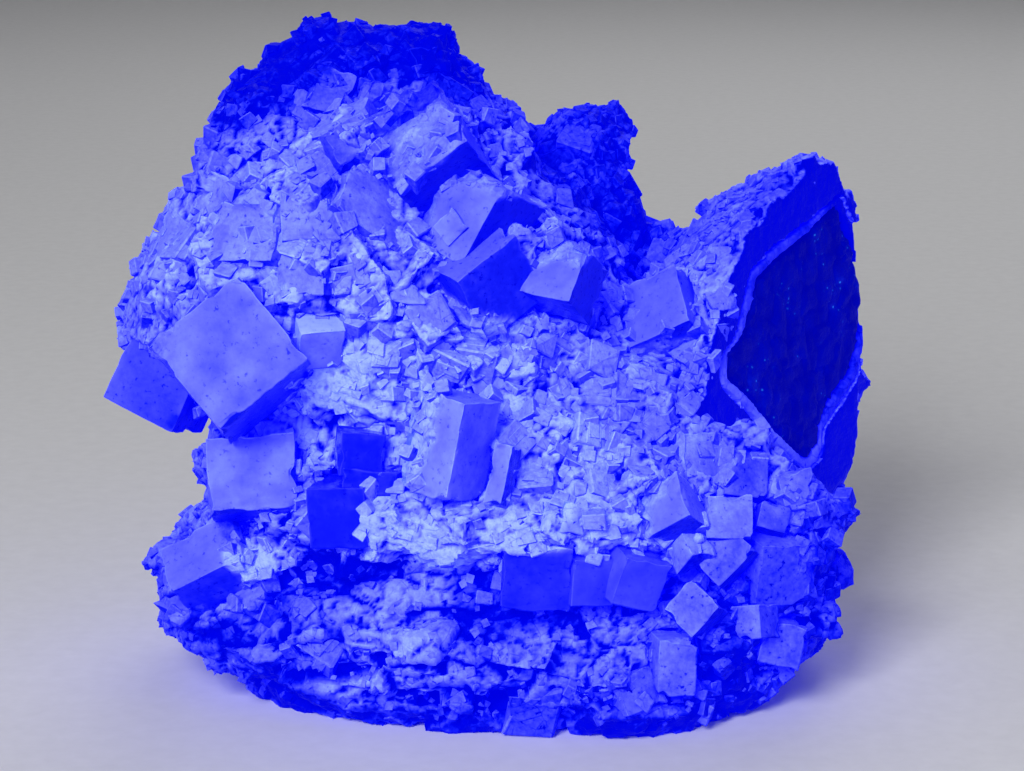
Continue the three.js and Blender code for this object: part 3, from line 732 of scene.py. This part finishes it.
class Cubes:
    """Many cubes that sit on the ground: where, how large, and which way each is turned."""

    def __init__(self, at, normals, size, zones, ridge, rng):
        self.at, self.normals, self.size, self.zones = at, normals, size, zones
        self.axes = grown_on(at, normals, zones["lean"], rng)
        self.half = size[:, None] / 2 * rng.uniform(0.75, 1.15, (len(size), 3))
        # the zone's tone, the patches' painted light and shade, and a random tone of its own
        self.pale = zones["tone"] + zones["patch"] + rng.normal(0, 0.07, len(size))
        proud = zones["proud"] * rng.uniform(0.2, 1.8, len(size)) * size
        rim = ramp(at[:, 0], 46, 54) * ramp(-at[:, 2], -50, -40) + 0.5 * ramp(at[:, 2], 96, 102)
        sunk = 1.4 * rim + np.clip(ridge, 0, 2.2)
        self.middle = at + normals * (proud - self.half.max(1) - sunk)[:, None]

    def shapes(self, plan, wear, rng, cleave=0.0):
        shapes = warped(boxes(plan, self.half, wear), self.half, self.zones["warp"], rng)
        if cleave:
            for _ in range(2):
                shapes = cleaved(shapes, self.half, rng.uniform(0, cleave, len(self.size)) * self.size, rng)
        return placed(shapes, self.axes, self.middle)

    def only(self, chosen):
        part = object.__new__(Cubes)
        for name, value in vars(self).items():
            if isinstance(value, dict):
                setattr(part, name, {key: column[chosen] for key, column in value.items()})
            else:
                setattr(part, name, value[chosen])
        return part


def spots_of(ground, count, rng):
    """Random places on the ground, clear of the floor, the undersides, the broken face and the
    lesser crystals."""
    at, facing = spots_on(ground.points, ground.normals, ground.quads, count, rng)
    keep = (at[:, 2] > 1.5) & (facing[:, 2] > -0.75) & (on_break(at, facing) < 0.3)
    for seat in ground.seats:
        keep &= ((at - seat["at"]) ** 2).sum(1) > (0.5 * seat["edge"]) ** 2
    return at[keep], facing[keep]


def grow_cubes(ground, count, which, crowd, rng, power=1.0, thinned=False):
    """Cubes in the sizes of their zones, the larger ones first, no closer than crowd allows."""
    at, normals = spots_of(ground, count, rng)
    zones = zone_values(at)
    share = zones["crumbs"] if thinned else np.where(at[:, 2] > BASE_TOP, 1, ON_BASE)
    keep = rng.random(len(at)) < share
    at, normals = at[keep], normals[keep]
    ridge = ground.ridge_at(at)
    size = between(zones[which][keep], rng, power) * (1 - 0.35 * ramp(at[:, 0], 50, 56))
    size = size * (1 - 0.5 * ramp(ridge, 0.5, 2))
    order = np.argsort(-size + 3.0 * rng.random(len(size)))
    order = order[settle(at[order], size[order], crowd)]
    at, normals, size = at[order], normals[order], size[order]
    return Cubes(at, normals, size, zone_values(at), ridge[order], rng)


def held_behind_break(shapes, cubes, broken):
    """Cuts what grew beside the broken face off along it."""
    gap = np.array([broken.find(p)[2] for p in cubes.at])
    near = (gap < 1.2 * cubes.size) & (depth_in_front(cubes.at) < 1.0)
    past = np.maximum((shapes - BREAK_POINT) @ BREAK_NORMAL, 0) * near[:, None]
    return shapes - past[:, :, None] * BREAK_NORMAL, (gap > 0.6 * cubes.size) | near


def skin_relief(points, base):
    """How far the skin's rough ground stands out at each point: faint tilted flakes on the
    druse, and long split ledges on the massive base."""
    wander = clouds(points, 6, 6)[:, None]
    flakes, flake_joints = flags(points + 0.8 * wander, (4.4, 4.4, 4.0), 30)
    chips, chip_joints = flags(points + 0.5 * wander, (2.2, 2.2, 2.2), 31)
    fine = clouds(points, 1.3, 61, 2)
    druse = 0.24 * flakes + 0.16 * chips + 0.1 * fine - 0.28 * (1 - flake_joints) - 0.15 * (1 - chip_joints)
    ledges, ledge_joints = flags(points + 1.0 * wander, (19, 19, 7), 51)
    slabs, slab_joints = flags(points + 0.8 * wander, (8, 8, 4.5), 52)
    massive = 1.4 * ledges + 0.6 * slabs + 0.3 * chips + 0.2 * fine + 0.6 * clouds(points, 9, 53, 2)
    massive += 0.35 * clouds(points, 2.6, 54, 2)
    massive -= 0.5 * (1 - ledge_joints) + 0.25 * (1 - slab_joints)
    return druse + (massive - druse) * base


def skin_tone(points, normals, quads, broken, base, owned):
    """How pale the skin is: painted shade in joints, creases and recesses and on the faces that look
    away from the light, a faint painted highlight on worn edges, and pale wherever sugar lies, which
    is dust and painted light together. owned is what each grown-over block adds of its own."""
    zones = zone_values(points)
    even = smoothed(points, quads, points, 5)
    wide = smoothed(points, quads, even, 24)
    edge = ((points - even) * normals).sum(1)
    stand = ((even - wide) * normals).sum(1)
    facing = normals @ unit(SUGAR_AND_LIGHT_FROM)
    patches = clouds(points, 8, 71, 3)
    crumbs = clouds(points, 2.2, 72, 2)
    # painted shade: faces that look away from the light are darker
    clean_and_shaded = zones["tone"] * (0.45 + 0.55 * ramp(facing, -0.4, 0.6))
    clean_and_shaded = clean_and_shaded * (1 + 0.4 * patches + (0.2 + 0.4 * base) * crumbs)
    # sugar on the faces that look toward the light: dust and painted light together
    sugar = zones["sugar"] * ramp(facing + 0.6 * patches + 0.3 * crumbs, 0.0, 1.0)
    # the patches add painted light and painted shade
    tone = clean_and_shaded + owned + (0.85 - clean_and_shaded) * sugar + zones["patch"]
    # painted shade in creases and crevices, and a faint painted highlight on worn edges
    tone = tone + 0.42 * np.clip(edge / 0.14, -1.7, 0.16)
    # painted shade in recesses, and a faint painted highlight where the ground stands out
    tone = tone + 0.6 * np.clip(stand / (0.7 + 0.6 * base), -1.5, 0.12)
    tone = tone - 0.35 * base * ramp(clouds(points, 12, 74, 3), -0.1, 0.3)
    tone = np.clip(tone, DEEPEST, 0.95)
    return tone + (DEEPEST - tone) * broken


def druse_piece(name, cubes, plan, wear, finish, rng, cleave=0.0, broken=None, rough=0.0):
    """One piece from many cubes of the crust; gives back the cubes that are in it."""
    points, faces = plan
    worn = np.arange(len(faces)) >= PLAIN_FACES
    shapes = cubes.shapes(points, wear, rng, cleave)
    if broken is not None:
        shapes, clear = held_behind_break(shapes, cubes, broken)
        shapes, cubes = shapes[clear], cubes.only(clear)
    p, f = joined(shapes, faces)
    if rough:
        p = p + rough * clouds(p, 1.3, 81)[:, None] * np.repeat(cubes.normals, len(points), 0)
    tone = face_tone(p, f, len(faces), worn, cubes.pale, cubes.zones["sugar"])
    piece_of(name, p, f, tone, "crystal_crust", finish)
    return cubes


def make_crust(materials):
    rng = np.random.default_rng(CRUST_SEED)
    finish = materials["crust"]
    coarse, coarse_normals, coarse_quads = remeshed("crystal_crust", COARSE_VOXEL, 3)
    coarse_normals = unit(smoothed(coarse, coarse_quads, coarse_normals, BROAD_ROUNDS))
    ridge = ((coarse - smoothed(coarse, coarse_quads, coarse, RIDGE_ROUNDS)) * coarse_normals).sum(1)
    drawn = coarse + pull(coarse)
    seats = seats_on(Ground(drawn, coarse_normals, coarse_quads, coarse, ridge, []))
    ground = Ground(coarse, coarse_normals, coarse_quads, coarse, ridge, seats)
    broken = tree_of(coarse[on_break(coarse, coarse_normals) > 0.5])

    # Blocks that the skin has grown over: they meet in it, with soft edges.
    lumps = grow_cubes(ground, BLOCK_TRIES, "block", BLOCK_CROWD, rng, power=1.2)
    small = grow_cubes(ground, SMALL_TRIES, "small", SMALL_CROWD, rng, thinned=True)
    small.middle = small.middle + small.normals * (0.12 * small.size)[:, None]
    grown = []
    for group in (lumps, small):
        shapes = group.shapes(PLAIN_PLAN[0], np.zeros(len(group.size)), rng)
        shapes, clear = held_behind_break(shapes, group, broken)
        grown.append(shapes[clear])
    middles = np.concatenate([lumps.middle, small.middle])
    solid = joined(np.concatenate(grown), PLAIN_PLAN[1])
    points, normals, quads = remeshed("crystal_crust", SKIN_VOXEL, 1, solid)
    base = ramp(points[:, 2] + 3 * clouds(points, 9, 7), BASE_TOP + 2, BASE_TOP - 4)
    on_cut = on_break(points, normals)
    broad = unit(smoothed(points, quads, normals, 4))
    relief = skin_relief(points, base) * (1 - on_cut) + 0.2 * clouds(points, 1.6, 61, 2) * on_cut
    points = points + broad * relief[:, None] + pull(points) * (1 - on_cut)[:, None]
    normals = vertex_normals(points, quads)
    owner_tree = tree_of(middles)
    owned = rng.normal(0, 0.07, len(middles))[[owner_tree.find(p)[1] for p in points]] * (1 - base)
    tone = skin_tone(points, normals, quads, on_cut, base, owned)
    for part, span in zip(("low", "middle", "high"), zip(SLAB_HEIGHTS, SLAB_HEIGHTS[1:])):
        piece_of("crust_skin_" + part, points, quads, tone, "crystal_crust", finish, True, span)
    ground = Ground(points, unit(smoothed(points, quads, normals, 6)), quads, coarse, ridge, ground.seats)

    # Blocks that stand clear of the skin, with crisp edges.
    crisp = rng.random(len(lumps.size)) < 0.5 * lumps.zones["crumbs"]
    blocks = lumps.only(crisp)
    blocks.middle = blocks.middle + blocks.normals * (0.3 + 0.04 * blocks.size)[:, None] + pull(blocks.at)
    blocks = druse_piece("crust_blocks", blocks, CHIPPED_PLAN, 0.04 * blocks.size, finish, rng,
                         cleave=0.4, broken=broken, rough=0.12)

    # Growth steps on them.
    host = rng.choice(len(blocks.size), GROWTH_STEPS, p=blocks.size**2 / (blocks.size**2).sum())
    steps = blocks.only(host)
    rows = np.arange(len(host))
    outward = np.einsum("njk,nj->nk", steps.axes, steps.normals)
    axis = np.abs(outward).argmax(1)
    sign = np.sign(outward[rows, axis])
    offset = rng.uniform(-0.35, 0.35, (len(host), 3)) * steps.half
    offset[rows, axis] = sign * (steps.half[rows, axis] + rng.uniform(0.1, 0.3, len(host)) - PLATE)
    steps.middle = steps.middle + np.einsum("njk,nk->nj", steps.axes, offset)
    steps.half = steps.half * rng.uniform(0.3, 0.65, (len(host), 3))
    steps.half[rows, axis] = PLATE
    druse_piece("crust_growth_steps", steps, CHIPPED_PLAN, np.full(len(host), 0.1), finish, rng)

    # Small cubes and grains.
    cubes = grow_cubes(ground, LOOSE_TRIES, "small", LOOSE_CROWD, rng, thinned=True)
    cubes.middle = cubes.at - cubes.normals * (rng.uniform(0.15, 0.45, len(cubes.size)) * cubes.size)[:, None]
    cubes = cubes.only(rng.permutation(len(cubes.size))[:LOOSE_CUBES])
    druse_piece("crust_cubes", cubes, CHIPPED_PLAN, 0.06 * cubes.size, finish, rng, cleave=0.3, broken=broken)
    at, facing = spots_of(ground, GRAIN_TRIES, rng)
    at, facing = at[:GRAINS], facing[:GRAINS]
    grains = Cubes(at, facing, 0.6 + 0.8 * rng.random(len(at)), zone_values(at), np.zeros(len(at)), rng)
    grains.middle = at - facing * (0.2 * grains.size)[:, None]
    druse_piece("crust_grains", grains, PLAIN_PLAN, np.zeros(len(at)), finish, rng, broken=broken)
    return ground


# ---------------------------------------------------------------- the large crystals

WEAR = 0.3  # how far a large crystal's edges are worn off
GRID = 0.75  # distance between the lines of a large crystal's mesh
CHIPPED, RUGGED = 1.7, 2.8  # how deep the chips in a crystal's edges are
SHADE = 0.15  # how pale a face that looks away from the light stays under its painted shade, as a share
CRUST_SEED, LESSER_SEED, OVERGROWTH_SEED = 7, 61, 23
CRYSTAL_SEEDS, LESSER_SEEDS = 200, 300  # the first of each crystal's own seed
FEWEST_LINES, MOST_LINES = 4, 24  # along a face of a large crystal
DUST = 0.75  # the tone of sugar on a large crystal


def grown_crystal(at, edge, look, spin, pale, cover, sugar, shade, chips, seed, rng):
    """One cube with worn and chipped edges, growth steps and dust, painted shade on the faces that
    look away from the light and a painted highlight along its edges: its points, faces, tones and
    how much druse covers each point."""
    half = np.array(edge) / 2
    count = int(np.clip(round(max(edge) / GRID), FEWEST_LINES, MOST_LINES))
    plan, faces = lattice_box([-1, *np.linspace(-INSET, INSET, count), 1])
    points = boxes(plan, half[None], np.array([WEAR]))[0]
    for axis in range(3):
        for side in (-1, 1):
            terraced(points, plan, half, axis, side, rng, seed)
    edge_close = 1 - np.clip((np.sort(half - np.abs(points), axis=1)[:, 1]) / 1.3, 0, 1)
    chip = np.maximum(clouds(points + seed, 2.4, 101, 2) + 0.05, 0)
    worn = chips * chip * edge_close
    worn = worn + 0.12 * clouds(points + seed, 1.4, 103, 2) + 0.15 * clouds(points, 5, 104)
    points = points - unit(points) * worn[:, None]
    for _ in range(3):
        depth = np.array([rng.uniform(0.0, 0.16) * half.max()])
        points = cleaved(points[None], half[None], depth, rng)[0]
    axes = axes_of(look[0], look[1], spin)
    outward = unit((plan**5) @ axes.T)
    points = points @ axes.T
    under = np.zeros(len(points))
    for direction, distance in cover:
        past = points @ unit(np.array(direction, float)) + 1.6 * clouds(points + seed, 3.5, 117, 2)
        under = np.maximum(under, ramp(past, distance - 0.6, distance + 0.8))
        sunk = 0.6 * np.maximum(past - distance, 0) * (outward @ -axes[:, 1] > 0.5)
        points = points + axes[:, 1] * sunk[:, None]
    crust = 0.2 + 0.3 * clouds(points + seed, 1.8, 118, 2)
    crust = crust + 0.8 * flags(points + seed, (3.4, 3.4, 3.4), 120)[0]
    points = points + outward * (under * crust)[:, None]
    points = points + np.array(at)
    facing = outward @ unit(SUGAR_AND_LIGHT_FROM)
    mottle = clouds(points, 4.5, 111, 3)
    # painted shade: faces that look away from the light are darker
    clean_and_shaded = pale * (shade + (1 - shade) * ramp(facing, -0.35, 0.5)) * (1 + 0.35 * mottle)
    clean_and_shaded = clean_and_shaded - 0.2 * ramp(clouds(points, 1.5, 112, 2), 0.35, 0.7) * (0.3 + edge_close)
    # sugar on the faces that look toward the light: dust and painted light together
    dust_and_light = ramp(facing + 0.5 * mottle, 0.4, 1.0) * sugar * 1.5
    tone = clean_and_shaded + (DUST - clean_and_shaded) * np.clip(dust_and_light, 0, 1)
    # a painted highlight along the edges that look toward the light
    tone = tone + 0.22 * ramp(edge_close, 0.7, 1) * ramp(facing, -0.4, 0.3)
    druse = zone_values(points)
    # where druse covers it: the crust's tone with the patches' painted light and shade, and painted light on
    # faces toward the light
    covering = druse["tone"] + druse["patch"] + 0.2 * facing + 0.3 * clouds(points, 1.8, 119, 2)
    tone = tone + (covering - tone) * under
    return points, faces, np.clip(tone, DEEPEST, 0.95), under


def crystal_piece(name, parts, node, material, crust):
    """One piece from grown crystals, with the crust's finish wherever druse covers them: its
    points, its faces and how much druse covers each point."""
    starts = np.cumsum([0] + [len(part[0]) for part in parts])
    points, tone, under = (np.concatenate([part[k] for part in parts]) for k in (0, 2, 3))
    faces = np.concatenate([part[1] + start for part, start in zip(parts, starts)])
    covered = under[faces].mean(1) > 0.5
    over = (crust, covered) if covered.any() else None
    piece_of(name, points, faces, tone, node, material, smooth=True, over=over)
    return points, faces, under


def make_crystal(crystal, materials, seed):
    """The cubes of one crystal group."""
    rng = np.random.default_rng(seed)
    finish = crystal.get("finish", crystal["slot"])
    chips = RUGGED if finish == "lesser" else CHIPPED
    parts = []
    for at, edge, look, spin, pale, *cover in crystal["cubes"]:
        parts.append(grown_crystal(at, edge, look, spin, pale, cover, crystal["sugar"],
                                   crystal.get("shade", SHADE), chips, seed, rng))
    name = crystal["name"].replace("crystal_", "cube_")
    return crystal_piece(name, parts, crystal["name"], materials[finish], materials["crust"])


def make_lesser(seats, materials):
    """The lesser crystals, each sunk in the crust up to a little under its front face."""
    rng = np.random.default_rng(LESSER_SEED)
    parts = []
    for number, seat in enumerate(seats):
        edge, look, spin = seat["edge"], seat["look"], seat["spin"]
        axes = axes_of(look[0], look[1], spin)
        sides = edge * rng.uniform((0.85, 0.9, 0.85), (1.15, 1.1, 1.15))
        at = seat["at"] - axes[:, 1] * (0.4 + 0.03 * edge - sides[1] / 2)
        zones = zone_values(seat["at"][None])
        # the patches' painted light and shade, at half strength
        pale = seat["pale"] + 0.5 * float(zones["patch"][0])
        sugar = 0.8 * float(zones["sugar"][0])
        cover = [((axes[:, 0] * rng.choice([-1, 1]) + axes[:, 2] * rng.normal(0, 0.4)), 0.32 * edge)]
        seed = LESSER_SEEDS + number
        parts.append(grown_crystal(at, sides, look, spin, pale, cover, sugar, SHADE, RUGGED, seed, rng))
    points, faces, _ = crystal_piece("crust_lesser_crystals", parts, "crystal_crust",
                                     materials["lesser"], materials["crust"])
    return points, faces, np.zeros(len(points))


def terraced(points, plan, half, axis, side, rng, seed):
    """Steps one face of a cube down from a growth hillock of its own."""
    u, v = (axis + 1) % 3, (axis + 2) % 3
    on = (plan[:, axis] == side) & (np.abs(plan[:, u]) < 0.9) & (np.abs(plan[:, v]) < 0.9)
    hill = rng.uniform(-0.6, 0.6, 2) * half[[u, v]]
    far = np.maximum(np.abs(points[on, u] - hill[0]), np.abs(points[on, v] - hill[1]))
    far = far + 0.8 * clouds(points[on] + seed, 3.0, 90 + axis)
    points[on, axis] -= side * 0.05 * np.floor(far / (0.25 * half.max()))


def make_overgrowth(ground, crystals, materials):
    """Small cubes on the large crystals, where druse covers them or the crust meets them."""
    rng = np.random.default_rng(OVERGROWTH_SEED)
    tree = tree_of(ground.points[::3])
    at, normals = [], []
    for points, faces, covered in crystals:
        a, b, c = (points[faces[:, k]] for k in range(3))
        across = np.cross(b - a, c - a)
        area = np.linalg.norm(across, axis=1) / 2
        count = int(area.sum() * 3)
        pick = rng.choice(len(faces), count, p=area / area.sum())
        s, t = rng.random((count, 1)), rng.random((count, 1))
        flip = (s + t) > 1
        s, t = np.where(flip, 1 - s, s), np.where(flip, 1 - t, t)
        spots = a[pick] * (1 - s - t) + b[pick] * s + c[pick] * t
        shade = covered[faces[pick]].mean(1)
        gap = np.array([tree.find(p)[2] for p in spots])
        keep = (rng.random(count) < 0.2 * shade) | (gap < 0.8)
        at.append(spots[keep])
        normals.append(unit(across[pick])[keep])
    at, normals = np.concatenate(at), np.concatenate(normals)
    size = 0.8 + 2.2 * rng.random(len(at)) ** 2.5
    order = np.argsort(-size + 1.0 * rng.random(len(size)))
    at, normals, size = at[order], normals[order], size[order]
    kept = settle(at, size, 0.5)
    kept = kept[rng.random(len(kept)) < 0.6]
    at, normals, size = at[kept], normals[kept], size[kept]
    zones = zone_values(at)
    zones["lean"] = np.full(len(at), 24.0)
    cubes = Cubes(at, normals, size, zones, np.zeros(len(at)), rng)
    cubes.middle = at - normals * (rng.uniform(0.2, 0.5, len(at)) * size)[:, None]
    druse_piece("crust_overgrowth", cubes, CHIPPED_PLAN, 0.06 * size, materials["crust"], rng, cleave=0.3)


# ---------------------------------------------------------------- the vein band and the rock


def make_vein(materials):
    points, normals, quads = remeshed("vein_band", 0.7, 1)
    relief = 0.25 * clouds(points, 2.2, 121, 3)
    points = points + normals * relief[:, None]
    tone = 0.25 + 0.3 * ramp(-points[:, 2], -62, -44) - 0.35 * ramp(points[:, 0], 53, 58)
    tone = tone + 0.3 * clouds(points, 5, 131, 3)
    piece_of("vein", points, quads, tone, "vein_band", materials["vein"], smooth=True)


def make_rock(materials):
    points, normals, quads = remeshed("host_rock", 0.7, 1)
    stand, joint = flags(points, (4, 4, 4), 141)
    relief = 0.45 * stand + 0.3 * clouds(points, 1.7, 151, 3) - 0.35 * (1 - joint)
    points = points + normals * relief[:, None]
    tone = 0.5 + 0.5 * clouds(points, 6, 161, 3)
    piece_of("rock", points, quads, tone, "host_rock", materials["rock"], smooth=True)


# ---------------------------------------------------------------- finishes


class Signal:
    """A node's output that takes part in sums: each operator adds the node that works it out."""

    def __init__(self, finish, socket):
        self.finish, self.socket = finish, socket

    def maths(self, operation, first, second, clamp=False):
        settings = {"operation": operation, "use_clamp": clamp}
        return self.finish.node("Math", settings, {0: first, 1: second})

    def __add__(self, other):
        return self.maths("ADD", self, other)

    __radd__ = __add__

    def __sub__(self, other):
        return self.maths("SUBTRACT", self, other)

    def __rsub__(self, other):
        return self.maths("SUBTRACT", other, self)

    def __mul__(self, other):
        return self.maths("MULTIPLY", self, other)

    __rmul__ = __mul__


class Finish:
    """A material in the making, all of whose nodes come from node()."""

    def __init__(self, name):
        self.material = bpy.data.materials.new(name)
        self.material.use_nodes = True
        self.material.cycles.emission_sampling = "NONE"
        self.tree = self.material.node_tree
        self.tree.nodes.clear()

    def node(self, kind, settings=None, sockets=None, output=0):
        made = self.tree.nodes.new("ShaderNode" + kind)
        for name, value in (settings or {}).items():
            if name == "stops":
                ramp_points = made.color_ramp.elements
                while len(ramp_points) < len(value):
                    ramp_points.new(0.5)
                for point, (position, colour) in zip(ramp_points, value):
                    point.position = position
                    point.color = (*colour, 1)
            else:
                setattr(made, name, value)
        for name, value in (sockets or {}).items():
            if isinstance(value, Signal):
                self.tree.links.new(value.socket, made.inputs[name])
            else:
                made.inputs[name].default_value = value
        return Signal(self, made.outputs[output]) if len(made.outputs) else None

    def place(self):
        return self.node("TexCoord", output="Object")

    def tone(self):
        return self.node("Attribute", {"attribute_name": "tone"}, output="Fac")

    def speckle(self, place, per_metre, detail=3.0, roughness=0.6):
        return self.node("TexNoise", None, {
            "Vector": place, "Scale": per_metre, "Detail": detail, "Roughness": roughness})

    def mask(self, value, nothing, all_of_it):
        """From 0 to 1 as the value goes from one number to the other."""
        stops = sorted([(nothing, (0, 0, 0)), (all_of_it, (1, 1, 1))])
        return self.node("ValToRGB", {"stops": stops}, {"Fac": value})

    def bump(self, height, strength, distance):
        return self.node("Bump", None, {"Height": height, "Strength": strength, "Distance": distance})

    def done(self, surface):
        self.node("OutputMaterial", None, {"Surface": surface})
        return self.material


# Linear colours from the deepest clean fluorite and painted shade to the palest sugar and painted light.
FLUORITE = [
    (0.0, (0.000, 0.001, 0.2)),
    (0.15, (0.006, 0.012, 0.25)),
    (0.35, (0.055, 0.065, 0.35)),
    (0.55, (0.13, 0.15, 0.45)),
    (0.75, (0.21, 0.27, 0.52)),
    (1.0, (0.38, 0.52, 0.7)),
]
# A painted glow: blue light that the fluorite gives off all over, so that its shaded parts stay blue.
GLOW = [(0.0, (0.0, 0.0, 0.6)), (0.2, (0.0, 0.0, 0.78)), (1.0, (0.0, 0.0, 0.8))]
GLEAM = (0.12, 0.16, 1.0, 1.0)  # the tint of what shines off fluorite
FLUORITE_IOR = 1.434


def fluorite(name, grain, roughness, bump_height, uneven, pits, cracks=0.0, clear=0.0, shine=0.06):
    """Fluorite whose tone comes from the mesh: grain and uneven are how much the tone changes
    over fractions of a millimetre and over millimetres, pits and cracks how deep those look."""
    finish = Finish(name)
    place = finish.place()
    fine = finish.speckle(place, 1250, 2.0)
    soft = finish.speckle(place, 480, 3.0)
    some = finish.mask(soft, 0.42, 0.6)
    pit = finish.mask(fine, 0.38, 0.3) * some
    pale = finish.tone() + (soft - 0.5) * uneven + (fine - 0.5) * grain - pit * pits
    if cracks:
        joint = finish.node("TexVoronoi", {"feature": "DISTANCE_TO_EDGE"}, {"Vector": place, "Scale": 380})
        line = finish.mask(joint, 0.05, 0.0) * some
        pale = pale - line * cracks
    colour = finish.node("ValToRGB", {"stops": FLUORITE}, {"Fac": pale})
    # painted glow, from the tone
    glow = finish.node("ValToRGB", {"stops": GLOW}, {"Fac": pale})
    surface = finish.node("BsdfPrincipled", None, {
        "Base Color": colour, "Roughness": roughness + (fine - 0.5) * 0.2, "IOR": FLUORITE_IOR,
        "Specular Tint": GLEAM, "Specular IOR Level": shine, "Transmission Weight": clear,
        "Emission Color": glow, "Emission Strength": 1.0,
        "Normal": finish.bump(fine * 0.5 + soft * 0.5, 0.7, bump_height),
    })
    return finish.done(surface)


def rock_finish():
    """Dark rock, cloudy, with sparse bright specks and a faint painted blue glow."""
    finish = Finish("host rock")
    place = finish.place()
    cloud = finish.speckle(place, 160, 5.0)
    fine = finish.speckle(place, 1500, 3.0)
    specks = finish.node("TexVoronoi", None, {"Vector": place, "Scale": 900})
    mask = finish.mask(specks, 0.22, 0.1) * finish.mask(cloud, 0.55, 0.66)
    cloudy = finish.node("ValToRGB", {"stops": [
        (0.4, (0.0, 0.0003, 0.05)), (0.62, (0.0, 0.002, 0.16)), (0.8, (0.004, 0.02, 0.4))]}, {"Fac": cloud})
    colour = finish.node("Mix", {"data_type": "RGBA"}, {0: mask, 6: cloudy, 7: (0.05, 0.4, 0.9, 1)}, 2)
    surface = finish.node("BsdfPrincipled", None, {
        "Base Color": colour, "Roughness": 0.5, "Specular Tint": GLEAM, "Specular IOR Level": 0.05,
        "Emission Color": (0.0, 0.0, 0.36, 1), "Emission Strength": 1.0,
        "Normal": finish.bump(fine + cloud, 0.6, 0.0006),
    })
    return finish.done(surface)


def plain_floor():
    finish = Finish("pale floor")
    fine = finish.speckle(finish.place(), 300)
    stops = [(0.3, (0.74, 0.74, 0.75)), (0.7, (0.78, 0.78, 0.79))]
    colour = finish.node("ValToRGB", {"stops": stops}, {"Fac": fine})
    return finish.done(finish.node("BsdfPrincipled", None, {"Base Color": colour, "Roughness": 0.8}))


# ---------------------------------------------------------------- the stage

VIEW_HEIGHT = 14.0  # degrees above level
VIEW_DISTANCE = 460.0
VIEW_TARGET = np.array([4.4, 0.0, 48.1])
LENS = 100.1
SENSOR = 36.0
PICTURE = (1024, 771)
FAR = PICTURE[0] * LENS / SENSOR  # the lens's focal length, in places of the picture
EDGE_STEP = 0.5  # the lesser crystals' edges are worked out to the nearest step

# The floor from its middle out and up its wall: radius and height, in metres.
FLOOR_PROFILE = [(0.3, 0), (0.7, 0), (1.1, 0), (1.2, 0), (1.4, 0.02), (1.55, 0.08), (1.68, 0.2),
                 (1.76, 0.38), (1.8, 0.6), (1.8, 2.2)]
FLOOR_SIDES = 96

# Soft lamps: place and size in metres, power in watts.
LAMPS = [
    ("key", (-0.24, -0.71, 0.47), 0.3, 6.3),
    ("fill", (0.7, -0.6, 0.35), 0.6, 0.5),
    ("back", (0.2, 0.7, 0.7), 0.6, 2.0),
]
LAMP_AIM = (0.0, 0.0, 0.05)
SKY = (0.5, 0.5, 0.52, 1)
SKY_STRENGTH = 0.2


def make_stage():
    """A round floor that curves up into a wall, pale all over."""
    mesh = bpy.data.meshes.new("floor")
    work = bmesh.new()
    loops = []
    for radius, height in FLOOR_PROFILE:
        turn = [2 * math.pi * i / FLOOR_SIDES for i in range(FLOOR_SIDES)]
        loops.append([work.verts.new((radius * math.cos(t), radius * math.sin(t), height)) for t in turn])
    work.faces.new(loops[0])
    for low, high in zip(loops, loops[1:]):
        for i in range(FLOOR_SIDES):
            j = (i + 1) % FLOOR_SIDES
            work.faces.new((low[i], high[i], high[j], low[j]))
    bmesh.ops.recalc_face_normals(work, faces=work.faces)
    for face in work.faces:
        face.smooth = True
    work.to_mesh(mesh)
    work.free()
    mesh.materials.append(plain_floor())
    floor = bpy.data.objects.new("floor", mesh)
    bpy.context.scene.collection.objects.link(floor)


def make_light():
    for name, at, size, power in LAMPS:
        light = bpy.data.lights.new(name, "AREA")
        light.shape = "SQUARE"
        light.size = size
        light.energy = power
        lamp = bpy.data.objects.new(name, light)
        lamp.location = at
        lamp.rotation_euler = (Vector(LAMP_AIM) - Vector(at)).to_track_quat("-Z", "Y").to_euler()
        bpy.context.scene.collection.objects.link(lamp)
    world = bpy.data.worlds.new("studio")
    world.use_nodes = True
    sky = world.node_tree.nodes["Background"].inputs
    sky["Color"].default_value = SKY
    sky["Strength"].default_value = SKY_STRENGTH
    bpy.context.scene.world = world


def make_camera():
    camera = bpy.data.cameras.new("camera")
    camera.lens = LENS
    camera.sensor_width = SENSOR
    camera.clip_end = 10
    holder = bpy.data.objects.new("camera", camera)
    rise = math.radians(VIEW_HEIGHT)
    back = np.array([0.0, -math.cos(rise), math.sin(rise)]) * VIEW_DISTANCE
    holder.location = (VIEW_TARGET + back + MARK) * MM
    holder.rotation_euler = (math.pi / 2 - rise, 0, 0)
    bpy.context.scene.collection.objects.link(holder)
    bpy.context.scene.camera = holder


def main():
    make_stage()
    make_light()
    make_camera()
    materials = {
        "crust": fluorite("crust", 0.42, 0.5, 0.0007, 0.35, 0.35, cracks=0.2),
        "crystal": fluorite("crystal", 0.12, 0.3, 0.00015, 0.16, 0.25, shine=0.12),
        "pale_crystal": fluorite("pale crystal", 0.12, 0.28, 0.00015, 0.14, 0.2, shine=0.12),
        "glassy_crystal": fluorite("glassy crystal", 0.06, 0.15, 0.0001, 0.2, 0.15, clear=0.3, shine=0.3),
        "lesser": fluorite("dusted crystal", 0.34, 0.45, 0.0005, 0.3, 0.35, cracks=0.06),
        "vein": fluorite("vein", 0.3, 0.5, 0.0004, 0.3, 0.2, cracks=0.2),
        "rock": rock_finish(),
    }
    ground = make_crust(materials)
    crystals = [make_crystal(crystal, materials, CRYSTAL_SEEDS + i) for i, crystal in enumerate(CRYSTALS)]
    crystals.append(make_lesser(ground.seats, materials))
    make_overgrowth(ground, crystals, materials)
    make_vein(materials)
    make_rock(materials)
    bpy.context.scene.view_settings.view_transform = "Standard"


main()
